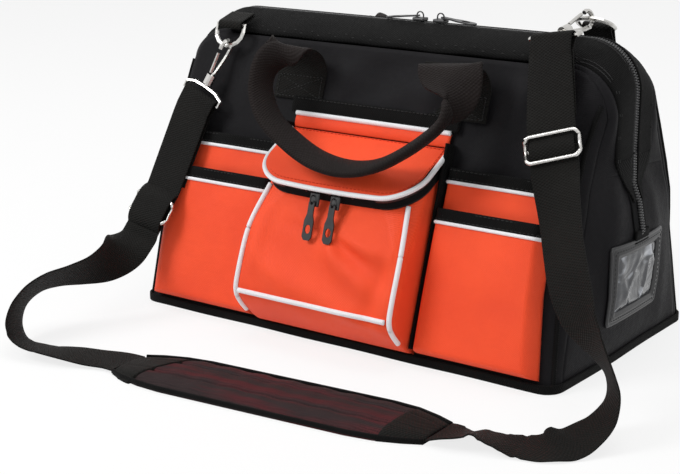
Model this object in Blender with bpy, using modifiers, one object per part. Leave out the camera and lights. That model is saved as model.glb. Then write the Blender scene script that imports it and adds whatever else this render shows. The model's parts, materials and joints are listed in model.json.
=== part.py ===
"""Gate-mouth tool bag with a box pocket, side pockets, two webbing handles and a shoulder strap.

Metres, +Z up. The bag stands on z = 0, its length lies along X and its front faces -Y.
The origin is the centre of the base. The mouth's two steel frames turn on one pair of rivets.
"""
import math

import bmesh
import bpy
import numpy as np
from mathutils import Matrix, Vector

# Overall sizes of the body
LENGTH = 0.406
DEPTH = 0.228
SHOULDER_HEIGHT = 0.238
SHOULDER_DEPTH = 0.073
RIDGE_RISE = 0.0155
RIDGE_HEIGHT = SHOULDER_HEIGHT + RIDGE_RISE
HINGE_HEIGHT = 0.165
WALL = 0.0024
SEAM_GAP = 0.0003
EDGE_RADIUS = 0.012
MOUTH_RADIUS = 0.036

# Base
BOARD_THICKNESS = 0.0030
BOARD_MARGIN = 0.004
BINDING_THICKNESS = 0.0018
BINDING_HEIGHT = 0.0075

# Mouth casing, steel frames, zip and rivets
CASING_THICKNESS = 0.0022
CASING_STANDOFF = 0.0014
CASING_CROWN = 0.0016
CASING_LEG_WIDTH = 0.030
ZIP_SLOT = 0.0048
TAPE_WIDTH = 0.0125
TAPE_THICKNESS = 0.0008
COIL_WIDTH = 0.0030
COIL_HEIGHT = 0.0022
ZIP_PART = 0.0003
ROD_RADIUS = 0.0025
ROD_INSET = 0.0216
EYE_RADIUS = 0.0060
EYE_THICKNESS = 0.0052
EYE_HOLE = 0.0027
RIVET_RADIUS = 0.0023
RIVET_HEAD_RADIUS = 0.0052
RIVET_HEAD = 0.0010
FRAME_STEP = 0.0056

# Side pockets, in two tiers: the inner one stands taller behind the outer one
POCKET_SHEET = 0.0014
POCKET_ROOM = 0.0060
POCKET_FOOT = 0.0100
INNER_POCKET_HEIGHT = 0.1500
OUTER_POCKET_HEIGHT = 0.1190
LEFT_POCKET_OUTER_END = 0.1860
POCKET_BOX_MARGIN = 0.0060

# Box pocket in the middle
BOX_WIDTH = 0.152
BOX_DEPTH = 0.044
BOX_SHEET = 0.0022
BOX_BOTTOM = 0.0085
BOX_FOLD = 0.0300
BOX_RIM = 0.1060
BOX_TOP = 0.1220
ZIP_BAND_THICKNESS = 0.0016
LID_HINGE = 0.1720
LID_BACK_EDGE = 0.1830
LID_SHEET = 0.0026
LID_OVERHANG = 0.0040
LID_CORNER = 0.0300
LID_STANDOFF = 0.0040

# Card window on the right end
CARD_WIDTH = 0.088
CARD_HEIGHT = 0.066
CARD_RIM = 0.0110
CARD_THICKNESS = 0.0016
CARD_CORNER = 0.0040
CARD_LEVEL = 0.068
FILM_THICKNESS = 0.0004

# Carrying handles
HANDLE_SPREAD = 0.158
HANDLE_WEB = 0.050
HANDLE_WEB_THICKNESS = 0.0024
GRIP_WIDTH = 0.026
GRIP_THICKNESS = 0.0100
HANDLE_AXIS_DROP = 0.0055
HANDLE_AXIS_HEIGHT = SHOULDER_HEIGHT - HANDLE_AXIS_DROP
HANDLE_AXIS_STANDOFF = 0.0282
BACK_HANDLE_LIFT = math.radians(26)
PATCH_HEIGHT = 0.024
PATCH_BEND = 0.0160
PATCH_THICKNESS = 0.0020

# Strap, its rings, hooks and sliders
STRAP_WIDTH = 0.038
STRAP_THICKNESS = 0.0016
LAYER_GAP = 0.0016
TAB_WIDTH = 0.0245
TAB_THICKNESS = 0.0016
TAB_LENGTH = 0.017
RING_WIRE = 0.0019
RING_DEPTH = 0.0190
HOOK_WIRE = 0.0019
HOOK_EYE = 0.0085
HOOK_LENGTH = 0.0485
BARREL_RADIUS = 0.0034
BARREL_LENGTH = 0.0090
HOOK_TURN = math.radians(90)
HOOK_TIP_ANGLE = 205
LOOP_WIRE = 0.0018
LOOP_DEPTH = 0.0120
SWIVEL_RADIUS = 0.0020
SLIDER_WIRE = 0.0016
SLIDER_PLAY = 0.0009
SLIDER_HEIGHT = 0.0240
TURNED_BACK = 0.94
SLIDER_LEAD = 0.55
PAD_WIDTH = 0.066
PAD_THICKNESS = 0.0085

# Zip sliders and pulls
SLIDER_BODY = (0.0110, 0.0090, 0.0030)
BRIDGE_WIRE = 0.0007
BRIDGE_RADIUS = 0.0032
PULL_LENGTH = 0.0300
PULL_WIDTH = 0.0090
PULL_THICKNESS = 0.0012
PULL_EYE = 0.0013
PULL_EYE_RIM = 0.0010
PULL_HOLE = 0.0028
TOP_SLIDER_PLACES = (0.008, 0.028)
BOX_SLIDER_PLACES = (-0.012, 0.008)
BOX_PULL_HANG = (0.0, -0.30, -1.0)

ARC_STEPS = 6
CUT_OVERRUN = 0.002

# The strap's route, chosen by hand: centre, then the direction across the strap
LEFT_RING = ((-0.157, -0.0455, 0.2430), (0, -0.36, -0.93), (1, 0, 0))
LEFT_HOOK_RUN = ((-0.36, -0.30, -0.88), (0.93, -0.10, -0.35))
ROUTE_DEPTH = 0.228
LEFT_SLIDER = ((-0.1930, -0.1150, 0.0870), (0.985, -0.05, -0.15))
LEFT_ROUTE = [
    ((-0.1980, -0.1305, 0.0625), (0.989, 0.060, -0.136)),
    ((-0.1989, -0.1429, 0.0566), (0.843, 0.034, -0.537)),
    ((-0.1970, -0.1589, 0.0538), (0.319, 0.564, -0.762)),
    ((-0.1965, -0.1759, 0.0506), (-0.148, 0.435, -0.888)),
    ((-0.2005, -0.1936, 0.0480), (-0.506, 0.344, -0.791)),
    ((-0.2073, -0.2116, 0.0466), (-0.679, 0.290, -0.675)),
    ((-0.2138, -0.2296, 0.0440), (-0.631, 0.464, -0.622)),
    ((-0.2162, -0.2468, 0.0366), (-0.557, 0.578, -0.597)),
    ((-0.2128, -0.2609, 0.0252), (-0.436, 0.723, -0.536)),
    ((-0.2037, -0.2697, 0.0137), (-0.287, 0.839, -0.462)),
    ((-0.1877, -0.2714, 0.0055), (-0.124, 0.946, -0.300)),
    ((-0.1696, -0.2694, 0.0062), (-0.047, 0.978, -0.204)),
    ((-0.1519, -0.2645, 0.0055), (-0.240, 0.965, -0.110)),
    ((-0.1335, -0.2565, 0.0032), (-0.220, 0.975, -0.040)),
    ((-0.1150, -0.2499, 0.0026), (-0.030, 0.999, -0.010)),
    ((-0.1012, -0.2497, 0.0028), (0.000, 1.000, 0.000)),
]
RIGHT_RING = ((0.155, 0.0315, 0.2570), (0, -0.90, 0.44), (1, 0, 0))
RIGHT_HOOK_RUN = ((-0.10, -0.965, -0.18), (0.93, -0.10, 0.17))
RIGHT_SLIDER = ((0.1735, -0.0745, 0.180), (0.955, 0.19, 0.22))
RIGHT_ROUTE = [
    ((0.1858, -0.0892, 0.1500), (0.927, 0.050, 0.371)),
    ((0.1939, -0.0986, 0.1341), (0.878, -0.028, 0.478)),
    ((0.2028, -0.1104, 0.1187), (0.835, -0.037, 0.549)),
    ((0.2125, -0.1223, 0.1038), (0.778, 0.025, 0.628)),
    ((0.2232, -0.1330, 0.0889), (0.791, -0.080, 0.607)),
    ((0.2350, -0.1410, 0.0739), (0.789, -0.346, 0.508)),
    ((0.2486, -0.1447, 0.0596), (0.082, -0.421, 0.903)),
    ((0.2613, -0.1487, 0.0453), (0.421, -0.732, 0.535)),
    ((0.2682, -0.1563, 0.0301), (0.599, -0.733, 0.323)),
    ((0.2672, -0.1686, 0.0168), (0.763, -0.624, 0.167)),
    ((0.2612, -0.1846, 0.0082), (0.938, -0.341, 0.054)),
    ((0.2550, -0.1978, 0.0060), (0.760, -0.600, -0.230)),
    ((0.2453, -0.2076, 0.0042), (0.253, -0.948, -0.191)),
    ((0.2320, -0.2120, 0.0020), (-0.059, -0.997, -0.052)),
    ((0.2167, -0.2162, 0.0040), (-0.173, -0.968, 0.184)),
    ((0.2011, -0.2194, 0.0066), (-0.177, -0.943, 0.282)),
    ((0.1855, -0.2257, 0.0062), (-0.040, -0.990, 0.130)),
    ((0.1716, -0.2262, 0.0034), (0.000, -1.000, 0.000)),
]
PAD_START = ((-0.100, -0.249, 0.0060), (0.16, -0.98, -0.08))
PAD_END = ((0.170, -0.226, 0.0060), (0.06, -0.99, 0.05))

END_FACING = Matrix(((0, 0, 1, 0), (1, 0, 0, 0), (0, 1, 0, 0), (0, 0, 0, 1)))
SLOPE = math.atan2((DEPTH - SHOULDER_DEPTH) / 2, SHOULDER_HEIGHT)


def clear_scene():
    """Remove whatever the scene holds."""
    for old in list(bpy.data.objects):
        bpy.data.objects.remove(old, do_unlink=True)


def make_collection(name):
    made = bpy.data.collections.new(name)
    bpy.context.scene.collection.children.link(made)
    return made


def make_material(name, colour, roughness, metallic=0.0):
    material = bpy.data.materials.new(name)
    material.use_nodes = True
    shader = material.node_tree.nodes["Principled BSDF"]
    shader.inputs["Base Color"].default_value = (*colour, 1.0)
    shader.inputs["Roughness"].default_value = roughness
    shader.inputs["Metallic"].default_value = metallic
    return material


clear_scene()
PARTS = make_collection("tool_bag")
CUTTERS = make_collection("cutters")
MATERIALS = {
    "body_cloth": make_material("body_cloth", (0.018, 0.017, 0.020), 0.75),
    "orange_cloth": make_material("orange_cloth", (0.85, 0.075, 0.02), 0.7),
    "webbing": make_material("webbing", (0.014, 0.014, 0.012), 0.8),
    "steel": make_material("steel", (0.35, 0.35, 0.36), 0.4, 1.0),
    "nickel": make_material("nickel", (0.75, 0.74, 0.72), 0.2, 1.0),
    "zip_black": make_material("zip_black", (0.01, 0.01, 0.01), 0.45),
    "board": make_material("board", (0.03, 0.03, 0.03), 0.6),
    "window_rim": make_material("window_rim", (0.05, 0.05, 0.05), 0.4),
    "window_film": make_material("window_film", (0.4, 0.42, 0.45), 0.1),
    "pad_mesh": make_material("pad_mesh", (0.04, 0.035, 0.035), 0.8),
}


def add_object(name, mesh, material=None, cutter=False):
    """Put a mesh in the scene as a part, or as a cutter that isn't shown."""
    made = bpy.data.objects.new(name, mesh)
    (CUTTERS if cutter else PARTS).objects.link(made)
    if cutter:
        made.hide_render = True
        made.display_type = "WIRE"
    if material:
        own = MATERIALS[material].copy()
        own.name = name + "_" + material
        mesh.materials.clear()
        mesh.materials.append(own)
    return made


def closed_mesh(name, bm):
    """Weld a bmesh, point its faces outwards and turn it into a mesh."""
    bmesh.ops.remove_doubles(bm, verts=bm.verts, dist=0.00001)
    bmesh.ops.recalc_face_normals(bm, faces=bm.faces)
    mesh = bpy.data.meshes.new(name)
    bm.to_mesh(mesh)
    bm.free()
    return mesh


def loft(name, rings, material, cutter=False, closed=False):
    """A solid through a row of like rings of points, capped at its ends unless it closes on itself."""
    bm = bmesh.new()
    rows = [[bm.verts.new(point) for point in ring] for ring in rings]
    count = len(rows[0])
    pairs = list(zip(rows, rows[1:] + rows[:1])) if closed else list(zip(rows, rows[1:]))
    for low, high in pairs:
        for i in range(count):
            j = (i + 1) % count
            bm.faces.new((low[i], low[j], high[j], high[i]))
    if not closed:
        bm.faces.new(rows[0][::-1])
        bm.faces.new(rows[-1])
    return add_object(name, closed_mesh(name, bm), material, cutter)


def sheet(name, rows, thickness, material, outward):
    """A wall: an open surface through rows of points, thickened away from its outer side."""
    bm = bmesh.new()
    grid = [[bm.verts.new(point) for point in row] for row in rows]
    for low, high in zip(grid, grid[1:]):
        for i in range(len(low) - 1):
            bm.faces.new((low[i], low[i + 1], high[i + 1], high[i]))
    bm.normal_update()
    facing = sum((face.normal * face.calc_area() for face in bm.faces), Vector())
    if facing.dot(Vector(outward)) < 0:
        bmesh.ops.reverse_faces(bm, faces=bm.faces)
    mesh = bpy.data.meshes.new(name)
    bm.to_mesh(mesh)
    bm.free()
    made = add_object(name, mesh, material)
    solid = made.modifiers.new("wall", "SOLIDIFY")
    solid.thickness = thickness
    solid.offset = -1.0
    return made


def slab(name, outlines, thickness, matrix, material, cutter=False):
    """A flat plate from closed 2D outlines, the later ones being holes, centred on its thickness."""
    curve = bpy.data.curves.new(name + "_outline", "CURVE")
    curve.dimensions = "2D"
    curve.fill_mode = "BOTH"
    curve.extrude = thickness / 2
    for outline in outlines:
        spline = curve.splines.new("POLY")
        spline.points.add(len(outline) - 1)
        for point, (x, y) in zip(spline.points, outline):
            point.co = (x, y, 0.0, 1.0)
        spline.use_cyclic_u = True
    return converted(name, curve, matrix, material, cutter)


def tube(name, points, radius, material, cyclic=False, resolution=2, cutter=False):
    """A round wire along points."""
    curve = bpy.data.curves.new(name + "_line", "CURVE")
    curve.dimensions = "3D"
    curve.bevel_depth = radius
    curve.bevel_resolution = resolution
    curve.use_fill_caps = True
    curve.twist_mode = "MINIMUM"
    spline = curve.splines.new("POLY")
    spline.points.add(len(points) - 1)
    for point, place in zip(spline.points, points):
        point.co = (*place, 1.0)
    spline.use_cyclic_u = cyclic
    return converted(name, curve, Matrix(), material, cutter)


def converted(name, curve, matrix, material, cutter):
    """Turn a curve into a welded mesh object in its place."""
    guide = bpy.data.objects.new(name + "_curve", curve)
    CUTTERS.objects.link(guide)
    bpy.context.view_layer.update()
    graph = bpy.context.evaluated_depsgraph_get()
    mesh = bpy.data.meshes.new_from_object(guide.evaluated_get(graph))
    bpy.data.objects.remove(guide, do_unlink=True)
    bm = bmesh.new()
    bm.from_mesh(mesh)
    bm.transform(matrix)
    return add_object(name, closed_mesh(name, bm), material, cutter)


def cylinder(name, start, end, radius, material, sides=16, cutter=False):
    """A capped cylinder between two points."""
    start, end = Vector(start), Vector(end)
    axis = end - start
    bm = bmesh.new()
    turn = axis.to_track_quat("Z", "Y").to_matrix().to_4x4()
    place = Matrix.Translation((start + end) / 2) @ turn
    bmesh.ops.create_cone(
        bm, cap_ends=True, segments=sides, radius1=radius, radius2=radius,
        depth=axis.length, matrix=place,
    )
    return add_object(name, closed_mesh(name, bm), material, cutter)


def block(name, size, matrix, material, cutter=False):
    """A box of a size, placed by a matrix."""
    bm = bmesh.new()
    bmesh.ops.create_cube(bm, size=1.0, matrix=matrix @ Matrix.Diagonal((*size, 1.0)))
    return add_object(name, closed_mesh(name, bm), material, cutter)


def combine(target, other, operation):
    """Join another object to a part, or cut it away, and keep the result as the part's mesh."""
    boolean = target.modifiers.new(operation.lower(), "BOOLEAN")
    boolean.operation = operation
    boolean.object = other
    boolean.solver = "EXACT"
    bpy.context.view_layer.update()
    graph = bpy.context.evaluated_depsgraph_get()
    mesh = bpy.data.meshes.new_from_object(target.evaluated_get(graph))
    target.modifiers.remove(boolean)
    target.data = mesh
    bpy.data.objects.remove(other, do_unlink=True)


def join_to(target, other):
    combine(target, other, "UNION")


def cut_from(target, cutter):
    combine(target, cutter, "DIFFERENCE")


def soften(target, width, segments=1):
    """Round a part's hard edges."""
    bevel = target.modifiers.new("soft_edges", "BEVEL")
    bevel.width = width
    bevel.segments = segments
    bevel.limit_method = "ANGLE"
    bevel.angle_limit = math.radians(40)
    return target


def hinge_at(target, place):
    """Move an object's origin to its joint's axis without moving its mesh."""
    place = Vector(place)
    target.data.transform(Matrix.Translation(-place))
    target.location = place


def half_depth(z):
    """Half the body's depth at a height: the walls lean in from base to shoulder."""
    return DEPTH / 2 - math.tan(SLOPE) * z


def on_front(x, along, out):
    """A point on the sloping front: across, up the slope from the base, and out from the wall."""
    return (
        x,
        -DEPTH / 2 + along * math.sin(SLOPE) - out * math.cos(SLOPE),
        along * math.cos(SLOPE) + out * math.sin(SLOPE),
    )


def front_frame_matrix(x, along, out):
    """A frame on the sloping front: X across, Y up the slope, Z outwards."""
    columns = Matrix((
        (1.0, 0.0, 0.0),
        (0.0, math.sin(SLOPE), -math.cos(SLOPE)),
        (0.0, math.cos(SLOPE), math.sin(SLOPE)),
    )).to_4x4()
    return Matrix.Translation(on_front(x, along, out)) @ columns


def mirror_y(points):
    return [(x, -y, z) for x, y, z in points]


def circle(radius, sides):
    """Outline of a circle."""
    turns = [2 * math.pi * k / sides for k in range(sides)]
    return [(radius * math.cos(turn), radius * math.sin(turn)) for turn in turns]


def rounded_rectangle(width, height, radius, steps=4):
    """Outline of a rectangle with round corners, centred on zero."""
    outline = []
    for quarter, (sx, sy) in enumerate(((1, 1), (-1, 1), (-1, -1), (1, -1))):
        cx, cy = sx * (width / 2 - radius), sy * (height / 2 - radius)
        for step in range(steps + 1):
            angle = math.pi / 2 * (quarter + step / steps)
            outline.append((cx + radius * math.cos(angle), cy + radius * math.sin(angle)))
    return outline


def arch(half_length, top, radius, low, steps=ARC_STEPS, run=6):
    """The mouth's outline seen from the front: left leg, round corner, top run, corner, right leg."""
    radius = min(radius, half_length, top - low)
    points = [(-half_length, low)]
    for step in range(steps + 1):
        angle = math.pi - math.pi / 2 * step / steps
        points.append((
            -half_length + radius + radius * math.cos(angle),
            top - radius + radius * math.sin(angle),
        ))
    span = half_length - radius
    for step in range(1, run):
        points.append((-span + 2 * span * step / run, top))
    return points + [(-x, z) for x, z in reversed(points[:steps + 2])]


def wall_plan(inset=0.0):
    """Stations along the front wall seen from above: end face, round edge, front, round edge, end face.

    Each is the X place, the share of the edge radius by which it stands back from the front,
    and which side of the edge it is on.
    """
    half = LENGTH / 2 - inset
    radius = EDGE_RADIUS - inset
    stations = [(-half, EDGE_RADIUS)]
    for step in range(1, 4):
        angle = math.pi / 2 * step / 3
        stations.append((-half + radius * (1 - math.cos(angle)),
                         EDGE_RADIUS - radius * math.sin(angle)))
    flat = half - radius
    flats = [(-flat + 2 * flat * step / 10, inset) for step in range(1, 10)]
    return stations + flats + [(-x, back) for x, back in reversed(stations)]


def top_of_wall(x):
    """Height of the wall's upper edge: level, and round at the mouth's corners."""
    top = SHOULDER_HEIGHT - CASING_THICKNESS - CASING_STANDOFF
    start = LENGTH / 2 - MOUTH_RADIUS
    over = abs(x) - start
    if over <= 0:
        return top
    over = min(over, MOUTH_RADIUS)
    return top - MOUTH_RADIUS + math.sqrt(MOUTH_RADIUS ** 2 - over ** 2)


def wall_rows(low, high_of, levels):
    """Rows of points up the front wall between a height and a height that may vary with X."""
    rows = []
    for level in range(levels + 1):
        share = level / levels
        row = []
        for x, back in wall_plan():
            z = low + (high_of(x) - low) * share
            row.append((x, -half_depth(z) + back, z))
        rows.append(row)
    return rows


def build_body():
    """Base, walls, edge binding and base board."""
    foot = WALL * (1 + math.sin(SLOPE)) + SEAM_GAP
    outline = rounded_rectangle(LENGTH, DEPTH, EDGE_RADIUS)
    slab("base_panel", [outline], WALL, Matrix.Translation((0, 0, WALL / 2)), "body_cloth")
    inner = rounded_rectangle(
        LENGTH - 2 * (WALL + BOARD_MARGIN), DEPTH - 2 * (WALL + BOARD_MARGIN), EDGE_RADIUS)
    slab("base_board", [inner], BOARD_THICKNESS,
         Matrix.Translation((0, 0, WALL + SEAM_GAP + BOARD_THICKNESS / 2)), "board")
    grow = SEAM_GAP
    inside = rounded_rectangle(LENGTH + 2 * grow, DEPTH + 2 * grow, EDGE_RADIUS + grow)
    outside = rounded_rectangle(
        LENGTH + 2 * (grow + BINDING_THICKNESS), DEPTH + 2 * (grow + BINDING_THICKNESS),
        EDGE_RADIUS + grow + BINDING_THICKNESS)
    lean = math.tan(SLOPE) * BINDING_HEIGHT
    ring_rows = []
    for (ix, iy), (ox, oy) in zip(inside, outside):
        tuck = lean if abs(iy) > DEPTH / 2 - EDGE_RADIUS else 0.0
        side = math.copysign(tuck, iy)
        ring_rows.append([
            (ix, iy, 0.0), (ox, oy, 0.0),
            (ox, oy - side, BINDING_HEIGHT), (ix, iy - side, BINDING_HEIGHT), (ix, iy, WALL),
        ])
    loft("base_binding", ring_rows, "webbing", closed=True)

    sheet("front_panel", wall_rows(foot, top_of_wall, 8), WALL, "body_cloth", (0, -1, 0))
    low_rows = wall_rows(foot, lambda x: HINGE_HEIGHT, 5)
    sheet("back_panel", [mirror_y(row) for row in low_rows], WALL, "body_cloth", (0, 1, 0))
    high_rows = wall_rows(HINGE_HEIGHT + SEAM_GAP, top_of_wall, 4)
    sheet("back_upper_panel", [mirror_y(row) for row in high_rows], WALL, "body_cloth", (0, 1, 0))

    for side, name in ((-1, "left"), (1, "right")):
        build_end(side, name, foot)


def build_end(side, name, foot):
    """An end wall, with its front half up to the mouth and its back half's gusset as its own piece."""
    seam = EDGE_RADIUS + WALL / 3 + SEAM_GAP
    crown = SHOULDER_HEIGHT - CASING_THICKNESS - CASING_STANDOFF - MOUTH_RADIUS
    outline = [
        (-half_depth(foot) + seam, foot),
        (half_depth(foot) - seam, foot),
        (half_depth(HINGE_HEIGHT) - seam, HINGE_HEIGHT),
        (-ZIP_PART, HINGE_HEIGHT),
        (-ZIP_PART, crown),
        (-half_depth(crown) + seam, crown),
    ]
    stand = Matrix.Translation((side * (LENGTH / 2 - WALL / 2), 0, 0)) @ END_FACING
    slab(name + "_end_panel", [outline], WALL, stand, "body_cloth")
    above = HINGE_HEIGHT + SEAM_GAP
    gusset = [
        (ZIP_PART, above),
        (half_depth(above) - seam, above),
        (half_depth(crown) - seam, crown),
        (ZIP_PART, crown),
    ]
    slab(name + "_back_gusset", [gusset], WALL, stand, "body_cloth")


def mouth_paths(inset):
    """The mouth's ridge line and shoulder line, moved in from the casing's outer face."""
    half = LENGTH / 2 + CASING_STANDOFF + CASING_THICKNESS - inset
    rise = RIDGE_HEIGHT - SHOULDER_HEIGHT
    ridge = arch(half, RIDGE_HEIGHT - inset, MOUTH_RADIUS + rise - inset, HINGE_HEIGHT)
    shoulder = arch(half, SHOULDER_HEIGHT - inset, MOUTH_RADIUS - inset, HINGE_HEIGHT)
    return ridge, shoulder


def build_mouth(front):
    """One half of the mouth: webbing casing, steel frame and zip chain."""
    sign = -1 if front else 1
    name = "front" if front else "back"
    ridge, shoulder = mouth_paths(0.0)
    ridge_in, shoulder_in = mouth_paths(CASING_THICKNESS)
    leg_top = SHOULDER_HEIGHT - MOUTH_RADIUS
    rings = []
    for r, s, ri, si in zip(ridge, shoulder, ridge_in, shoulder_in):
        share = min(max((s[1] - leg_top) / MOUTH_RADIUS, 0.0), 1.0)
        reach = CASING_LEG_WIDTH + (SHOULDER_DEPTH / 2 - CASING_LEG_WIDTH) * share
        mid = ((r[0] + s[0]) / 2, (r[1] + s[1]) / 2 + CASING_CROWN * share)
        mid_in = ((ri[0] + si[0]) / 2, (ri[1] + si[1]) / 2 + CASING_CROWN * share)
        middle = (ZIP_SLOT + reach) / 2
        rings.append([
            (r[0], sign * ZIP_SLOT, r[1]),
            (mid[0], sign * middle, mid[1]),
            (s[0], sign * reach, s[1]),
            (si[0], sign * reach, si[1]),
            (mid_in[0], sign * middle, mid_in[1]),
            (ri[0], sign * ZIP_SLOT, ri[1]),
        ])
    loft(name + "_casing", rings, "webbing")

    under = CASING_THICKNESS + SEAM_GAP
    tape_out, shoulder_out = mouth_paths(under)
    tape_in, shoulder_in = mouth_paths(under + TAPE_THICKNESS)
    coil = mouth_paths(under - COIL_HEIGHT)[0]
    near = sign * ZIP_PART
    bead = sign * (ZIP_PART + COIL_WIDTH)
    far = sign * TAPE_WIDTH
    slant = (TAPE_WIDTH - ZIP_SLOT) / (SHOULDER_DEPTH / 2 - ZIP_SLOT)
    rings = []
    for top, low, bump, far_top, far_low in zip(tape_out, tape_in, coil, shoulder_out, shoulder_in):
        edge = [a + (b - a) * slant for a, b in zip(top, far_top)]
        edge_low = [a + (b - a) * slant for a, b in zip(low, far_low)]
        rings.append([
            (bump[0], near, bump[1]),
            (bump[0], bead, bump[1]),
            (top[0], bead, top[1]),
            (edge[0], far, edge[1]),
            (edge_low[0], far, edge_low[1]),
            (low[0], near, low[1]),
        ])
    loft(name + "_zip_chain", rings, "zip_black")
    build_frame(front)


def outer_frame_half():
    """Half the outer frame's length at its centre line: inside the wall and the rivet's head."""
    return LENGTH / 2 - WALL - RIVET_HEAD - EYE_THICKNESS / 2 - 3 * SEAM_GAP


def build_frame(front):
    """A bent steel rod: up from its eye on the rivet, over the mouth and down to the other eye."""
    sign = -1 if front else 1
    name = ("front" if front else "back") + "_frame"
    half = outer_frame_half()
    if not front:
        half -= FRAME_STEP
    top = (RIDGE_HEIGHT + SHOULDER_HEIGHT) / 2 - CASING_THICKNESS - ROD_RADIUS - 2 * SEAM_GAP
    upright = HINGE_HEIGHT + ROD_INSET
    path = arch(half, top, MOUTH_RADIUS, upright)
    root = (EYE_HOLE + EYE_RADIUS) / 2 * math.sqrt(0.5)
    knee = ROD_INSET / 2
    foot = [(sign * root, HINGE_HEIGHT + root), (sign * knee, HINGE_HEIGHT + knee)]
    line = [(-half, y, z) for y, z in foot]
    line += [(x, sign * ROD_INSET, z) for x, z in path]
    line += [(half, y, z) for y, z in reversed(foot)]
    frame = tube(name, smoothed(line, 1), ROD_RADIUS, "steel", resolution=1)
    for side in (-1, 1):
        stand = Matrix.Translation((side * half, 0, HINGE_HEIGHT)) @ END_FACING
        eye = slab("eye", [circle(EYE_RADIUS, 20), circle(EYE_HOLE, 16)], EYE_THICKNESS, stand,
                   "steel", cutter=True)
        join_to(frame, eye)
    hinge_at(frame, (0, 0, HINGE_HEIGHT))


def build_rivets():
    """The two rivets on which the frames turn, each a pin with a head at both ends."""
    outer = outer_frame_half()
    inner = outer - FRAME_STEP
    for side, name in ((-1, "left"), (1, "right")):
        out_face = outer + EYE_THICKNESS / 2 + SEAM_GAP
        in_face = inner - EYE_THICKNESS / 2 - SEAM_GAP
        radii = [
            (in_face - RIVET_HEAD, RIVET_HEAD_RADIUS), (in_face, RIVET_HEAD_RADIUS),
            (in_face, RIVET_RADIUS), (out_face, RIVET_RADIUS),
            (out_face, RIVET_HEAD_RADIUS), (out_face + RIVET_HEAD, RIVET_HEAD_RADIUS),
        ]
        rings = []
        for x, radius in radii:
            rings.append([
                (side * x, radius * math.cos(2 * math.pi * k / 14),
                 HINGE_HEIGHT + radius * math.sin(2 * math.pi * k / 14)) for k in range(14)
            ])
        loft(name + "_hinge_rivet", rings, "steel")


def smoothed(points, rounds):
    """Cut the corners of a polyline, keeping its ends."""
    for _ in range(rounds):
        result = [points[0]]
        for a, b in zip(points, points[1:]):
            a, b = Vector(a), Vector(b)
            result.append(tuple(a.lerp(b, 0.25)))
            result.append(tuple(a.lerp(b, 0.75)))
        result.append(points[-1])
        points = result
    return points


def build_side_pocket(name, low_x, high_x, foot, out, height):
    """An open-topped patch pocket: its front sheet, both side folds and its bottom fold."""
    foot, top = foot / math.cos(SLOPE), height / math.cos(SLOPE)
    inside = out - POCKET_SHEET
    start = SEAM_GAP
    plate = block(name, (high_x - low_x, top - foot, out - start),
                  front_frame_matrix((low_x + high_x) / 2, (foot + top) / 2, (out + start) / 2),
                  "orange_cloth")
    hollow = block("hollow", (high_x - low_x - 2 * POCKET_SHEET, top - foot, 2 * inside),
                   front_frame_matrix((low_x + high_x) / 2, (foot + top) / 2 + POCKET_SHEET, 0.0),
                   None, cutter=True)
    cut_from(plate, hollow)
    return plate


def build_side_pockets():
    """Two tiers each side of the box pocket."""
    inner_out = SEAM_GAP + POCKET_ROOM + POCKET_SHEET
    outer_out = inner_out + POCKET_ROOM + POCKET_SHEET + SEAM_GAP
    box_edge = BOX_WIDTH / 2 + POCKET_BOX_MARGIN
    side_edge = LEFT_POCKET_OUTER_END
    slim = POCKET_SHEET + SEAM_GAP
    for name, low_x, high_x in (("left", -side_edge, -box_edge), ("right", box_edge, side_edge)):
        build_side_pocket(name + "_inner_pocket", low_x + slim, high_x - slim,
                          POCKET_FOOT + slim, inner_out, INNER_POCKET_HEIGHT)
        build_side_pocket(name + "_outer_pocket", low_x, high_x, POCKET_FOOT, outer_out,
                          OUTER_POCKET_HEIGHT)


def box_profile(inset):
    """The box pocket's side view, open at the top and at the wall: (up the slope, out)."""
    return [
        (BOX_BOTTOM + inset, SEAM_GAP),
        (BOX_BOTTOM + inset, 0.010 - inset / 2),
        (BOX_FOLD + inset / 2, BOX_DEPTH - inset),
        (BOX_RIM, BOX_DEPTH - inset),
    ]


def build_box_pocket():
    """The box pocket: its shell, the zip band round its rim and its hinged lid."""
    half = BOX_WIDTH / 2
    outer = box_profile(0.0) + [(BOX_RIM, SEAM_GAP)]
    rings = [[on_front(x, along, out) for along, out in outer] for x in (-half, half)]
    shell = loft("box_pocket", rings, "orange_cloth")
    soften(shell, BOX_SHEET, 2)
    inner = [
        (BOX_BOTTOM + BOX_SHEET, -CUT_OVERRUN), (BOX_BOTTOM + BOX_SHEET, 0.010 - BOX_SHEET / 2),
        (BOX_FOLD + BOX_SHEET / 2, BOX_DEPTH - BOX_SHEET),
        (BOX_RIM + CUT_OVERRUN, BOX_DEPTH - BOX_SHEET), (BOX_RIM + CUT_OVERRUN, -CUT_OVERRUN),
    ]
    inside = half - BOX_SHEET
    rings = [[on_front(x, along, out) for along, out in inner] for x in (-inside, inside)]
    cut_from(shell, loft("hollow", rings, None, cutter=True))

    low, high = BOX_RIM + SEAM_GAP, BOX_TOP
    band = block("box_zip_band", (BOX_WIDTH, high - low, BOX_DEPTH - SEAM_GAP),
                 front_frame_matrix(0, (low + high) / 2, (BOX_DEPTH + SEAM_GAP) / 2), "zip_black")
    wall = ZIP_BAND_THICKNESS
    hollow = block("hollow", (BOX_WIDTH - 2 * wall, high, 2 * (BOX_DEPTH - wall)),
                   front_frame_matrix(0, (low + high) / 2, 0), None, cutter=True)
    cut_from(band, hollow)
    build_lid()


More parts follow.
